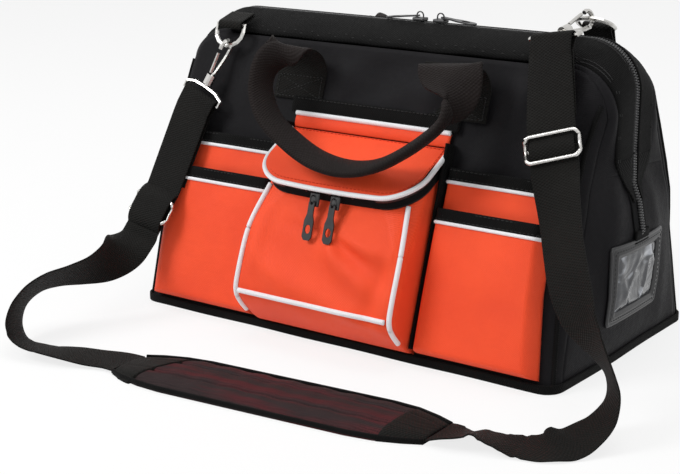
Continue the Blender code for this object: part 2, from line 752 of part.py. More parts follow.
def lid_surface(x, share, lift):
    """A point on the lid: across, from its hinge (0) to its front edge (1), and above its top."""
    start = (LID_HINGE, LID_STANDOFF)
    end = (BOX_TOP + LID_OVERHANG, BOX_DEPTH + LID_OVERHANG)
    along = start[0] + (end[0] - start[0]) * share
    out = start[1] + (end[1] - start[1]) * share
    length = math.hypot(end[0] - start[0], end[1] - start[1])
    normal = ((end[1] - start[1]) / length, (start[0] - end[0]) / length)
    crown = 0.004 * math.sin(math.pi * share) * (1 - (2 * x / BOX_WIDTH) ** 2)
    rise = lift + crown
    return on_front(x, along + normal[0] * rise, out + normal[1] * rise)


def build_lid():
    """The lid: a slightly crowned flap with round front corners, hinged at its sewn back edge."""
    half = BOX_WIDTH / 2 + LID_OVERHANG / 2
    reach = math.hypot(LID_HINGE - BOX_TOP - LID_OVERHANG, BOX_DEPTH + LID_OVERHANG - LID_STANDOFF)
    rings = []
    for share in np.linspace(0.0, 1.0, 9):
        from_front = (1 - share) * reach
        trim = 0.0
        if from_front < LID_CORNER:
            trim = LID_CORNER - math.sqrt(max(LID_CORNER ** 2 - (LID_CORNER - from_front) ** 2, 0.0))
        width = half - trim
        across = [-width, -width * 0.6, 0.0, width * 0.6, width]
        ring = [lid_surface(x, share, 0.0) for x in across]
        ring += [lid_surface(x, share, -LID_SHEET) for x in reversed(across)]
        rings.append(ring)
    lid = loft("pocket_lid", rings, "orange_cloth")
    hinge_at(lid, on_front(0, LID_HINGE, LID_STANDOFF))

    strip = block("lid_back_strip", (BOX_WIDTH, LID_BACK_EDGE - LID_HINGE - LID_SHEET, LID_SHEET),
                  front_frame_matrix(0, (LID_BACK_EDGE + LID_HINGE + LID_SHEET) / 2,
                                     SEAM_GAP + LID_SHEET / 2), "orange_cloth")
    soften(strip, LID_SHEET / 4)


def build_card_window():
    """The card window on the right end: a plastic rim and its clear film."""
    stand = Matrix.Translation((LENGTH / 2 + SEAM_GAP + CARD_THICKNESS / 2, 0, CARD_LEVEL)) @ END_FACING
    outer = rounded_rectangle(CARD_WIDTH, CARD_HEIGHT, CARD_CORNER)
    inner = rounded_rectangle(CARD_WIDTH - 2 * CARD_RIM, CARD_HEIGHT - 2 * CARD_RIM, CARD_CORNER / 2)
    slab("card_window_rim", [outer, inner], CARD_THICKNESS, stand, "window_rim")
    film = rounded_rectangle(CARD_WIDTH - 2 * CARD_RIM - 2 * SEAM_GAP,
                             CARD_HEIGHT - 2 * CARD_RIM - 2 * SEAM_GAP, CARD_CORNER / 2)
    slab("card_window_film", [film], FILM_THICKNESS, stand, "window_film")


def handle_profile():
    """The handle's centre line from its left sewn end to its right one, in sizes round its axis.

    Each station is: across, out from the axis, up from the axis, width, thickness, and how far the
    width has turned from lying along X to standing across the strap's run.
    """
    half = HANDLE_SPREAD / 2
    web, grip = HANDLE_WEB, GRIP_WIDTH
    thin, thick = HANDLE_WEB_THICKNESS, GRIP_THICKNESS
    left = [
        (-half - 0.001, 0.0006, 0.0000, web, thin),
        (-half - 0.002, 0.0108, -0.0050, web * 0.92, thin),
        (-half - 0.004, 0.0154, -0.0185, web * 0.78, thin * 1.4),
        (-half - 0.007, 0.0174, -0.0345, web * 0.62, thin * 2.2),
        (-half - 0.008, 0.0224, -0.0495, grip, thick * 0.8),
        (-half + 0.000, 0.0304, -0.0625, grip, thick),
        (-half + 0.020, 0.0404, -0.0725, grip, thick),
        (-half + 0.045, 0.0484, -0.0775, grip, thick),
        (0.0, 0.0504, -0.0790, grip, thick),
    ]
    right = [(-x, out, up, width, thickness) for x, out, up, width, thickness in reversed(left[:-1])]
    return left + right


def build_handle(name, back):
    """A webbing handle with a folded, padded grip, as one sweep from one sewn end to the other."""
    axis_y = -half_depth(HANDLE_AXIS_HEIGHT) - HANDLE_AXIS_STANDOFF
    line = [Vector((x, -out, up)) for x, out, up, _, _ in handle_profile()]
    rings = []
    for i, (_, _, _, width, thickness) in enumerate(handle_profile()):
        before, after = line[max(i - 1, 0)], line[min(i + 1, len(line) - 1)]
        run = (after - before).normalized()
        share = min(i, len(line) - 1 - i) / 5.0
        share = min(share, 1.0)
        share = share * share * (3 - 2 * share)
        end_way = 1.0 if i < len(line) / 2 else -1.0
        along_x = Vector((end_way, 0.0, 0.0))
        across = along_x.lerp(Vector((0.0, 0.35, 0.94)), share)
        across = (across - run * across.dot(run)).normalized()
        normal = run.cross(across).normalized()
        ring = []
        for k in range(8):
            angle = 2 * math.pi * (k + 0.5) / 8
            a = math.copysign(abs(math.cos(angle)) ** 0.5, math.cos(angle)) * width / 2
            b = math.copysign(abs(math.sin(angle)) ** 0.7, math.sin(angle)) * thickness / 2
            ring.append(line[i] + across * a + normal * b)
        rings.append(ring)
    if back:
        lift = Matrix.Rotation(-BACK_HANDLE_LIFT, 3, "X")
        rings = [[lift @ point for point in ring] for ring in rings]
    shift = Vector((0, axis_y, HANDLE_AXIS_HEIGHT))
    rings = [[tuple(point + shift) for point in ring] for ring in rings]
    if back:
        rings = [mirror_y(ring) for ring in rings]
    handle = loft(name, rings, "webbing")
    hinge_at(handle, (0, axis_y if not back else -axis_y, HANDLE_AXIS_HEIGHT))


def build_patches():
    """The sewn ends of the handles' webbing: flat on the wall, then bent out to the handle's axis."""
    rise = HANDLE_AXIS_HEIGHT
    lean = DEPTH / 2 - half_depth(HANDLE_AXIS_HEIGHT) - HANDLE_AXIS_STANDOFF
    top = lean * math.sin(SLOPE) + rise * math.cos(SLOPE)
    out = -lean * math.cos(SLOPE) + rise * math.sin(SLOPE)
    flat = SEAM_GAP + PATCH_THICKNESS / 2
    bend = PATCH_BEND
    path = [(top - bend - PATCH_HEIGHT, flat), (top - bend, flat), (top - bend * 0.58, out * 0.16),
            (top - bend * 0.22, out * 0.42), (top - bend * 0.05, out * 0.70), (top, out * 0.90)]
    deep = PATCH_THICKNESS / 2
    for side, name in ((-1, "left"), (1, "right")):
        rings = []
        for i, (along, off) in enumerate(path):
            before, after = path[max(i - 1, 0)], path[min(i + 1, len(path) - 1)]
            run = Vector((after[0] - before[0], after[1] - before[1])).normalized()
            ring = []
            for across, depth in ((-1, -1), (1, -1), (1, 1), (-1, 1)):
                x = side * HANDLE_SPREAD / 2 + across * HANDLE_WEB / 2
                ring.append(on_front(x, along - run.y * depth * deep, off + run.x * depth * deep))
            rings.append(ring)
        loft("front_" + name + "_handle_patch", rings, "webbing")
        rings = [mirror_y(ring) for ring in rings]
        loft("back_" + name + "_handle_patch", rings, "webbing")


def ribbon(name, stations, thickness, material):
    """A flat strap through stations of a centre and the direction across it."""
    rings = []
    for i, (centre, across) in enumerate(stations):
        centre, across = Vector(centre), Vector(across)
        before = Vector(stations[max(i - 1, 0)][0])
        after = Vector(stations[min(i + 1, len(stations) - 1)][0])
        run = (after - before).normalized()
        across = (across - run * across.dot(run)).normalized()
        normal = run.cross(across).normalized()
        wide, deep = across * STRAP_WIDTH / 2, normal * thickness / 2
        rings.append([tuple(centre - wide - deep), tuple(centre + wide - deep),
                      tuple(centre + wide + deep), tuple(centre - wide + deep)])
    return ribbon_solid(name, rings, material)


def ribbon_solid(name, rings, material):
    """A strap's solid in flat triangles. Its two faces are cut along the same diagonals, so that they
    stay apart where the strap twists."""
    bm = bmesh.new()
    rows = [[bm.verts.new(point) for point in ring] for ring in rings]
    for low, high in zip(rows, rows[1:]):
        for i, j in ((0, 1), (1, 2)):
            bm.faces.new((low[i], low[j], high[j]))
            bm.faces.new((low[i], high[j], high[i]))
        for i, j in ((2, 3), (3, 0)):
            bm.faces.new((low[i], low[j], high[i]))
            bm.faces.new((low[j], high[j], high[i]))
    bm.faces.new(rows[0][::-1])
    bm.faces.new(rows[-1])
    return add_object(name, closed_mesh(name, bm), material)


def with_front(stations):
    """Stations of the strap moved with the foot of the front wall that they lie before."""
    shift = (ROUTE_DEPTH - DEPTH) / 2
    return [((x, y + shift, z), across) for (x, y, z), across in stations]


def smooth_route(stations, per_step):
    """A Catmull-Rom curve through the stations, with the directions turned along, above the floor."""
    places = [Vector(place) for place, _ in stations]
    acrosses = [Vector(across).normalized() for _, across in stations]
    result = []
    for i in range(len(places) - 1):
        p0, p1 = places[max(i - 1, 0)], places[i]
        p2, p3 = places[i + 1], places[min(i + 2, len(places) - 1)]
        for step in range(per_step):
            t = step / per_step
            point = 0.5 * (2 * p1 + (p2 - p0) * t + (2 * p0 - 5 * p1 + 4 * p2 - p3) * t * t
                           + (3 * p1 - p0 - 3 * p2 + p3) * t * t * t)
            result.append((point, acrosses[i].lerp(acrosses[i + 1], t)))
    result.append((places[-1], acrosses[-1]))
    lifted = []
    for i, (point, across) in enumerate(result):
        run = (result[min(i + 1, len(result) - 1)][0] - result[max(i - 1, 0)][0]).normalized()
        square = (across - run * across.dot(run)).normalized()
        least = STRAP_WIDTH / 2 * abs(square.z) + STRAP_THICKNESS
        lifted.append((tuple((point.x, point.y, max(point.z, least))), tuple(across)))
    return lifted


def hook_bar(side_ring, hook_run):
    """Where a hook's eye and its strap bar lie: eye centre, bar centre, pull and bar directions."""
    ring, down = Vector(side_ring[0]), Vector(side_ring[1]).normalized()
    pull, across = Vector(hook_run[0]).normalized(), Vector(hook_run[1]).normalized()
    across = (across - pull * across.dot(pull)).normalized()
    wire = ring + down * RING_DEPTH
    eye = wire + pull * (HOOK_EYE - 2 * HOOK_WIRE - RING_WIRE - 3 * SEAM_GAP)
    return eye, eye + pull * HOOK_LENGTH, pull, across


def strap_end(bar, axis, foot, across):
    """The doubled end of the strap: up behind, over the bar, and down in front to its foot."""
    down = (foot - bar).normalized()
    reach = (foot - bar).length * TURNED_BACK
    near = (down - axis * down.dot(axis)).normalized()
    normal = near.cross(axis).normalized()
    if normal.y > 0:
        normal = -normal
    turn = LOOP_WIRE + 2 * SEAM_GAP + STRAP_THICKNESS / 2
    apart = (STRAP_THICKNESS + LAYER_GAP) / 2
    end_normal = down.cross(across).normalized()
    if end_normal.y > 0:
        end_normal = -end_normal
    stations = [(tuple(bar + down * reach - end_normal * 2 * apart), tuple(across)),
                (tuple(bar + near * 4 * turn - normal * apart), tuple(axis))]
    for step in range(9):
        angle = math.pi * step / 8
        place = bar - normal * turn * math.cos(angle) - near * turn * math.sin(angle)
        stations.append((tuple(place), tuple(axis)))
    stations.append((tuple(bar + near * 4 * turn + normal * apart), tuple(axis)))
    return stations


def filled_in(first, last, steps):
    """Stations evenly between two, the direction across turned along with them."""
    start, end = Vector(first[0]), Vector(last[0])
    across, turned = Vector(first[1]), Vector(last[1])
    return [(tuple(start.lerp(end, i / steps)), tuple(across.lerp(turned, i / steps)))
            for i in range(1, steps)]


def build_strap():
    """The strap's four lengths of webbing and the padded shoulder piece between them."""
    for name, ring, hook_run, slider, route in (
            ("left", LEFT_RING, LEFT_HOOK_RUN, LEFT_SLIDER, LEFT_ROUTE),
            ("right", RIGHT_RING, RIGHT_HOOK_RUN, RIGHT_SLIDER, RIGHT_ROUTE)):
        _, bar, _, axis = hook_bar(ring, hook_run)
        (slider, *route) = with_front([slider] + route)
        centre = Vector(slider[0])
        run = (Vector(route[0][0]) - centre).normalized()
        lead = run * STRAP_WIDTH * SLIDER_LEAD
        stations = strap_end(bar, axis, centre - lead, Vector(slider[1]))
        foot = (tuple(centre - lead), slider[1])
        stations[1:1] = filled_in(stations[0], stations[1], 5)
        stations += filled_in(stations[-1], foot, 5) + [foot, (tuple(centre - run * SEAM_GAP), slider[1])]
        ribbon(name + "_upper_strap", stations, STRAP_THICKNESS, "webbing")
        stations = [(tuple(centre + lead), slider[1])] + route
        stations = [(tuple(centre + run * SEAM_GAP), slider[1])] + smooth_route(stations, 2)
        ribbon(name + "_lower_strap", stations, STRAP_THICKNESS, "webbing")
    build_pad()


def build_pad():
    """The shoulder pad: flat below, crowned above, tapered to the strap's width at both ends."""
    start, end = (Vector(place) for place, _ in with_front([PAD_START, PAD_END]))
    shares = [0.0, 0.05, 0.12, 0.22, 0.40, 0.60, 0.78, 0.88, 0.95, 1.0]
    width_shares = [0.60, 0.78, 0.93, 1.0, 1.0, 1.0, 1.0, 0.93, 0.75, 0.55]
    height_shares = [0.45, 0.7, 0.95, 1.0, 1.0, 1.0, 1.0, 0.95, 0.7, 0.45]
    rings = []
    for share, wide, high in zip(shares, width_shares, height_shares):
        centre = start.lerp(end, share)
        half = PAD_WIDTH / 2 * wide
        top = PAD_THICKNESS * high
        floor = SEAM_GAP
        section = [(-half, floor), (half, floor), (half, floor + top * 0.35),
                   (half * 0.8, floor + top * 0.8), (0.0, floor + top),
                   (-half * 0.8, floor + top * 0.8), (-half, floor + top * 0.35)]
        rings.append([(centre.x, centre.y + y, z) for y, z in section])
    loft("shoulder_pad", rings, "pad_mesh")


def basis(x_axis, down):
    """A right-handed frame with X along the bar, Z against the pull, and Y out of the plane."""
    z_axis = -down.normalized()
    x_axis = (x_axis - z_axis * x_axis.dot(z_axis)).normalized()
    y_axis = z_axis.cross(x_axis)
    return Matrix((x_axis, y_axis, z_axis)).transposed().to_4x4()


def place_points(matrix, points):
    return [tuple(matrix @ Vector(point)) for point in points]


def arc_points(centre, radius, start, stop, steps, plane="xz"):
    """Points on an arc in a plane, angles in degrees."""
    points = []
    for step in range(steps + 1):
        angle = math.radians(start + (stop - start) * step / steps)
        a, b = radius * math.cos(angle), radius * math.sin(angle)
        if plane == "xz":
            points.append((centre[0] + a, centre[1], centre[2] + b))
        else:
            points.append((centre[0], centre[1] + a, centre[2] + b))
    return points


def build_ring_and_tab(name, side_ring, out):
    """A D-ring in its sewn webbing tab. The ring's straight bar lies in the tab's fold."""
    place, down, across = (Vector(item) for item in side_ring)
    frame = Matrix.Translation(place) @ basis(across, down)
    half = TAB_WIDTH / 2 + RING_WIRE + 2 * SEAM_GAP
    bow = [(-half, 0, 0), (half, 0, 0), (half, 0, -RING_DEPTH * 0.35)]
    bow += arc_points((0, 0, -RING_DEPTH * 0.35), half, 0, -180, 8)[1:]
    bow = [(x, y, z if abs(z) < RING_DEPTH * 0.36 else
            -RING_DEPTH * 0.35 + (z + RING_DEPTH * 0.35) * (RING_DEPTH * 0.65) / half)
           for x, y, z in bow]
    ring = tube(name + "_ring", place_points(frame, bow), RING_WIRE, "nickel", cyclic=True,
                resolution=1)
    hinge_at(ring, place)
    out = Vector(out).normalized()
    fold = RING_WIRE + SEAM_GAP + TAB_THICKNESS / 2
    side = Vector(across).normalized()
    up = -Vector(down).normalized()
    up = (up - side * up.dot(side)).normalized()
    front = side.cross(up).normalized()
    if front.dot(out) < 0:
        front = -front
    stations = [(place + up * TAB_LENGTH * 0.8 + front * TAB_THICKNESS * 0.8, side)]
    stations.append((place + up * fold * 1.6 + front * fold, side))
    for step in range(5):
        angle = math.pi * step / 4
        stations.append((place + front * fold * math.cos(angle) - up * fold * math.sin(angle), side))
    stations.append((place + up * fold * 1.6 - front * fold, side))
    stations.append((place + up * TAB_LENGTH * 0.8 - front * TAB_THICKNESS * 0.8, side))
    rings = []
    for i, (centre, across_tab) in enumerate(stations):
        before, after = stations[max(i - 1, 0)][0], stations[min(i + 1, len(stations) - 1)][0]
        run = (after - before).normalized()
        normal = run.cross(across_tab).normalized()
        wide, deep = across_tab * TAB_WIDTH / 2, normal * TAB_THICKNESS / 2
        rings.append([tuple(centre - wide - deep), tuple(centre + wide - deep),
                      tuple(centre + wide + deep), tuple(centre - wide + deep)])
    loft(name + "_ring_tab", rings, "webbing")


def build_hook(name, side_ring, hook_run):
    """A swivel snap hook: cast hook with barrel, sprung gate, and the wire loop for the strap."""
    eye, bar, pull, across = hook_bar(side_ring, hook_run)
    flat = Matrix.Translation(eye) @ basis(across, pull)
    frame = flat @ Matrix.Rotation(HOOK_TURN, 4, "Z")
    reach = HOOK_LENGTH - LOOP_DEPTH
    line = HOOK_EYE - HOOK_WIRE
    body = BARREL_RADIUS + HOOK_WIRE / 2
    top_of_barrel = -reach + BARREL_LENGTH
    curve = arc_points((0, 0, 0), line, HOOK_TIP_ANGLE, -20, 9)
    curve += [(line * 0.95, 0, -HOOK_EYE * 0.75), (body * 0.95, 0, -reach * 0.5),
              (body * 0.6, 0, top_of_barrel + HOOK_WIRE), (0, 0, top_of_barrel - HOOK_WIRE)]
    hook = tube(name + "_hook", place_points(frame, curve), HOOK_WIRE, "nickel", resolution=1)
    barrel = cylinder("barrel", frame @ Vector((0, 0, -reach)),
                      frame @ Vector((0, 0, top_of_barrel)), body, "nickel", 12, cutter=True)
    join_to(hook, barrel)
    stem_hole = cylinder("hole", frame @ Vector((0, 0, -reach - CUT_OVERRUN)),
                         frame @ Vector((0, 0, top_of_barrel - HOOK_WIRE)),
                         SWIVEL_RADIUS + SEAM_GAP, None, 12, cutter=True)
    cut_from(hook, stem_hole)
    hinge_at(hook, eye)

    gate_wire = HOOK_WIRE * 0.75
    pin = frame @ Vector((-body * 0.75, 0, top_of_barrel + gate_wire + 2 * SEAM_GAP))
    tip = Vector(curve[0])
    tip = frame @ (tip + Vector((0, 0, -gate_wire - HOOK_WIRE - 2 * SEAM_GAP)))
    gate = tube(name + "_hook_gate", [tuple(pin), tuple(pin.lerp(tip, 0.5)), tuple(tip)],
                gate_wire, "nickel", resolution=1)
    hinge_at(gate, pin)

    wide = STRAP_WIDTH / 2 + LOOP_WIRE + SEAM_GAP * 3
    bar_z = -HOOK_LENGTH
    loop = [(-wide, 0, bar_z), (wide, 0, bar_z), (wide, 0, bar_z + LOOP_DEPTH * 0.45),
            (wide * 0.6, 0, bar_z + LOOP_DEPTH * 0.72), (0, 0, bar_z + LOOP_DEPTH * 0.78),
            (-wide * 0.6, 0, bar_z + LOOP_DEPTH * 0.72), (-wide, 0, bar_z + LOOP_DEPTH * 0.45)]
    loop_wire = tube(name + "_strap_loop", place_points(flat, loop), LOOP_WIRE, "nickel",
                     cyclic=True, resolution=1)
    stem = cylinder("stem", flat @ Vector((0, 0, bar_z + LOOP_DEPTH * 0.78)),
                    flat @ Vector((0, 0, top_of_barrel - HOOK_WIRE - 2 * SEAM_GAP)),
                    SWIVEL_RADIUS, "nickel", 12, cutter=True)
    join_to(loop_wire, stem)


def build_strap_slider(name, slider, toward):
    """A wire slide: two bars in front of the strap, one behind it, and both ends."""
    centre, across = Vector(slider[0]), Vector(slider[1]).normalized()
    down = (Vector(toward) - centre).normalized()
    across = (across - down * across.dot(down)).normalized()
    normal = down.cross(across).normalized()
    frame = Matrix.Translation(centre) @ Matrix((across, normal, -down)).transposed().to_4x4()
    lift = STRAP_THICKNESS / 2 + SLIDER_WIRE + SLIDER_PLAY
    half = STRAP_WIDTH / 2 + SLIDER_WIRE + SEAM_GAP * 2
    tall = SLIDER_HEIGHT / 2 - SLIDER_WIRE
    corner = SLIDER_WIRE * 1.5
    outline = [
        (-half, lift - corner, tall), (-half + corner, lift, tall), (half - corner, lift, tall),
        (half, lift - corner, tall), (half, 0, tall * 0.6), (half, 0, -tall * 0.6),
        (half, lift - corner, -tall), (half - corner, lift, -tall), (-half + corner, lift, -tall),
        (-half, lift - corner, -tall), (-half, 0, -tall * 0.6), (-half, 0, tall * 0.6),
    ]
    wire = tube(name, place_points(frame, outline), SLIDER_WIRE, "nickel", cyclic=True, resolution=1)
    back = [(-half, 0, 0), (-half + corner / 3, -lift * 0.75, 0), (-half + corner, -lift, 0),
            (half - corner, -lift, 0), (half - corner / 3, -lift * 0.75, 0), (half, 0, 0)]
    bar = tube("bar", place_points(frame, back), SLIDER_WIRE, "nickel", resolution=1, cutter=True)
    join_to(wire, bar)


def build_zip_slider(name, matrix):
    """A zip slider: its body over the chain and the bridge that holds the pull. X is along the chain."""
    body = block(name, SLIDER_BODY, matrix @ Matrix.Translation((0, 0, SLIDER_BODY[2] / 2)), "zip_black")
    soften(body, SLIDER_BODY[2] / 5)
    centre = SLIDER_BODY[2] + PULL_THICKNESS / 2 + 3 * SEAM_GAP
    line = [(-BRIDGE_RADIUS, 0, SLIDER_BODY[2] - BRIDGE_WIRE)]
    line += arc_points((0, 0, centre), BRIDGE_RADIUS, 180, 0, 8)
    line.append((BRIDGE_RADIUS, 0, SLIDER_BODY[2] - BRIDGE_WIRE))
    bridge = tube("bridge", place_points(matrix, line), BRIDGE_WIRE, "zip_black", resolution=1,
                  cutter=True)
    join_to(body, bridge)
    return body


def build_pull(name, hinge, along, out):
    """A flat pull, hinged at its bridge's centre, with a small hole for the bridge and a large one."""
    along = Vector(along).normalized()
    out = Vector(out)
    out = (out - along * out.dot(along)).normalized()
    side = out.cross(along)
    frame = Matrix.Translation(Vector(hinge)) @ Matrix((along, side, out)).transposed().to_4x4()
    start = BRIDGE_RADIUS - PULL_EYE - PULL_EYE_RIM
    end = BRIDGE_RADIUS + PULL_LENGTH
    slim, wide = PULL_WIDTH * 0.31, PULL_WIDTH / 2
    top = [(start, slim * 0.5), (start + slim * 0.5, slim), (BRIDGE_RADIUS + PULL_LENGTH * 0.3, slim),
           (BRIDGE_RADIUS + PULL_LENGTH * 0.48, wide), (end - PULL_WIDTH * 0.3, wide),
           (end, wide * 0.55)]
    outline = top + [(x, -y) for x, y in reversed(top)]
    eye = [(BRIDGE_RADIUS + PULL_EYE * math.cos(2 * math.pi * k / 8),
            PULL_EYE * math.sin(2 * math.pi * k / 8)) for k in range(8)]
    far = BRIDGE_RADIUS + PULL_LENGTH * 0.70
    hole = [(far + PULL_HOLE * 1.35 * math.cos(2 * math.pi * k / 10),
             PULL_HOLE * math.sin(2 * math.pi * k / 10)) for k in range(10)]
    pull = slab(name, [outline, eye, hole], PULL_THICKNESS, frame, "zip_black")
    hinge_at(pull, hinge)


def build_zip_hardware():
    """Two sliders on the mouth's ridge, and two on the box pocket's front, each with its pull."""
    level = RIDGE_HEIGHT + SEAM_GAP
    pin_height = SLIDER_BODY[2] + PULL_THICKNESS / 2 + 3 * SEAM_GAP
    drop = (level + pin_height - RIDGE_HEIGHT - PULL_THICKNESS) / (BRIDGE_RADIUS + PULL_LENGTH)
    for name, x, way in (("left_top", TOP_SLIDER_PLACES[0], -1), ("right_top", TOP_SLIDER_PLACES[1], 1)):
        build_zip_slider(name + "_slider", Matrix.Translation((x, 0, level)))
        build_pull(name + "_pull", (x, 0.0, level + pin_height), (way, 0.0, -drop), (0, 0, 1))
    along_box = (BOX_RIM + BOX_TOP) / 2
    for name, x in (("left_box", BOX_SLIDER_PLACES[0]), ("right_box", BOX_SLIDER_PLACES[1])):
        place = front_frame_matrix(x, along_box, BOX_DEPTH + SEAM_GAP)
        place = place @ Matrix.Rotation(math.pi / 2, 4, "Z")
        build_zip_slider(name + "_slider", place)
        build_pull(name + "_pull", tuple(place @ Vector((0, 0, pin_height))), BOX_PULL_HANG, (0, -1, 0))


def build_strap_hardware():
    """Rings, tabs, hooks and slides of the shoulder strap."""
    build_ring_and_tab("left", LEFT_RING, (0, -1, 0.3))
    build_hook("left", LEFT_RING, LEFT_HOOK_RUN)
    build_ring_and_tab("right", RIGHT_RING, (0, 0.4, 1))
    build_hook("right", RIGHT_RING, RIGHT_HOOK_RUN)
    for name, slider, route in (("left_strap_slider", LEFT_SLIDER, LEFT_ROUTE),
                                ("right_strap_slider", RIGHT_SLIDER, RIGHT_ROUTE)):
        place, following = with_front([slider, route[0]])
        build_strap_slider(name, place, following[0])


def main():
    build_body()
    build_mouth(front=True)
    build_mouth(front=False)
    build_rivets()
    build_side_pockets()
    build_box_pocket()
    build_card_window()
    build_patches()
    build_handle("front_handle", back=False)
    build_handle("back_handle", back=True)
    build_strap()
    build_strap_hardware()
    build_zip_hardware()


main()
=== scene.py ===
"""Dresses the tool bag: sewn cloth, webbing, piping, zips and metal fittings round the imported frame.

Every surface is worked out with numpy in the bag's own frame, in metres: X runs along the mouth, the
front faces -Y and Z is up. A place on the sloping front is given as across (X), up the slope from the
base, and out from the wall.
"""

import json
import logging
import math
from dataclasses import dataclass
from enum import Enum
from functools import cache

import bpy
import numpy as np
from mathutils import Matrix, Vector

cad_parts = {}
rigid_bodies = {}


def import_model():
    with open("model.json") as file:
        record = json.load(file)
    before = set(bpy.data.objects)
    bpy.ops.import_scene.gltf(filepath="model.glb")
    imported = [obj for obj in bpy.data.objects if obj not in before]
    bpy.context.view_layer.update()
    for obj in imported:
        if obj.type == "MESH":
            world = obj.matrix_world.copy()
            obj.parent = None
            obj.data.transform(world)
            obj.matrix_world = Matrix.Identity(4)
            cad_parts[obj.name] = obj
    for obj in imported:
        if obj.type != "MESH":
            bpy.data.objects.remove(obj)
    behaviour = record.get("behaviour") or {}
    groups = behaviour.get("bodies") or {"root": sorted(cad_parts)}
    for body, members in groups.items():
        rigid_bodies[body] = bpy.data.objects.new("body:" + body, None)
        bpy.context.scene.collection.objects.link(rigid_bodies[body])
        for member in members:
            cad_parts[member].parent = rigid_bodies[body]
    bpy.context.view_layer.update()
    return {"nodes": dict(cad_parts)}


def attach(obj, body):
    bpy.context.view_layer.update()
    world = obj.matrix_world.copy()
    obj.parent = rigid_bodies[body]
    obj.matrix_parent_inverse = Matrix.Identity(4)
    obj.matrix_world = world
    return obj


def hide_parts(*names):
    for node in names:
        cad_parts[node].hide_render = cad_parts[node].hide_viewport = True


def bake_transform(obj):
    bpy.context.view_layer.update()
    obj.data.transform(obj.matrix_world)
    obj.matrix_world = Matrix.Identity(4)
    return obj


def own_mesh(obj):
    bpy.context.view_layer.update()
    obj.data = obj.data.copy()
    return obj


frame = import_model()
log = logging.getLogger("tool_bag")
Array = np.ndarray
Place = tuple[float, float, float]
UP = np.array([0.0, 0.0, 1.0])


class Body(Enum):
    """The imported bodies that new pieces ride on."""

    BAG = "bag"
    MOUTH = "mouth_back"
    LID = "pocket_lid"
    FRONT_HANDLE = "front_handle"
    BACK_HANDLE = "back_handle"
    LEFT_SLIDER = "left_strap_slider"
    RIGHT_SLIDER = "right_strap_slider"


@dataclass(frozen=True)
class Bend:
    """Where cloth bends from one body to another."""

    first: Body
    last: Body
    start: Place
    end: Place


class Side(Enum):
    """The two sides of the bag, by the sign of X."""

    LEFT = -1
    RIGHT = 1

    @property
    def word(self) -> str:
        """The side's word in the names of pieces."""
        return self.name.lower()


def unit(vectors: Array) -> Array:
    """Vectors scaled to length one along their last axis."""
    return vectors / np.maximum(np.linalg.norm(vectors, axis=-1, keepdims=True), 1e-12)


def smoothstep(low: float, high: float, value: Array) -> Array:
    """0 below low, 1 above high, and 3t^2 - 2t^3 between."""
    t = np.clip((value - low) / (high - low), 0.0, 1.0)
    return t * t * (3 - 2 * t)


def smooth_curve(points: Array, per_step: int) -> Array:
    """A Catmull-Rom curve through rows of numbers: each span is a cubic through both its ends.

    Args:
        points: One row for each station.
        per_step: Rows made for each span.

    Returns:
        The finer rows, with the last station kept.
    """
    points = np.asarray(points, float)
    padded = np.vstack([points[:1], points, points[-1:]])
    t = (np.arange(per_step) / per_step)[None, :, None]
    p0, p1, p2, p3 = (padded[k:len(padded) - 3 + k][:, None, :] for k in range(4))
    rows = 0.5 * (2 * p1 + (p2 - p0) * t + (2 * p0 - 5 * p1 + 4 * p2 - p3) * t ** 2
                  + (3 * p1 - p0 - 3 * p2 + p3) * t ** 3)
    return np.vstack([rows.reshape(-1, points.shape[1]), points[-1:]])


def runs_of(path: Array, closed: bool = False) -> Array:
    """The unit direction of a path at each point, from its neighbours on both sides."""
    if closed:
        return unit(np.roll(path, -1, axis=0) - np.roll(path, 1, axis=0))
    return unit(np.gradient(path, axis=0))


def square_to(run: Array, across: Array) -> Array:
    """Directions turned in their own plane with a run until they stand square to it."""
    return unit(across - run * np.sum(run * across, axis=-1, keepdims=True))


def arc_length(path: Array) -> Array:
    """The length along a path up to each of its points."""
    steps = np.linalg.norm(np.diff(path, axis=0), axis=1)
    return np.concatenate([[0.0], np.cumsum(steps)])


def resampled(path: Array, count: int) -> Array:
    """The same path with its points an even length apart."""
    length = arc_length(path)
    even = np.linspace(0.0, length[-1], count)
    return np.stack([np.interp(even, length, path[:, k]) for k in range(path.shape[1])], axis=1)


def round_outline(radius: float, sides: int = 12) -> Array:
    """A circle's outline."""
    turn = np.linspace(0, 2 * np.pi, sides, endpoint=False)
    return np.stack([np.cos(turn), np.sin(turn)], axis=1) * radius


def soft_outline(width: float, height: float, power: float = 0.35, sides: int = 28) -> Array:
    """A flat strap's outline: a superellipse with nearly square shoulders."""
    turn = np.linspace(0, 2 * np.pi, sides, endpoint=False) + np.pi / sides
    shape = [np.sign(part) * np.abs(part) ** power for part in (np.cos(turn), np.sin(turn))]
    return np.stack(shape, axis=1) * np.array([width / 2, height / 2])


def round_rectangle(half_width: float, half_height: float, radius: float, steps: int,
                    count: int = 0) -> Array:
    """A rounded rectangle's outline: four corners of some steps each.

    Args:
        half_width: Half its width.
        half_height: Half its height.
        radius: Its corners' radius.
        steps: Steps round a corner.
        count: Where given, the outline is closed and has this many even steps instead.
    """
    turn = np.linspace(0, np.pi / 2, steps + 1)
    loop = np.vstack([
        np.stack([sx * (half_width - radius) + radius * np.cos(turn + q * np.pi / 2),
                  sy * (half_height - radius) + radius * np.sin(turn + q * np.pi / 2)], axis=1)
        for q, (sx, sy) in enumerate(((1, 1), (-1, 1), (-1, -1), (1, -1)))])
    return resampled(np.vstack([loop, loop[:1]]), count + 1) if count else loop


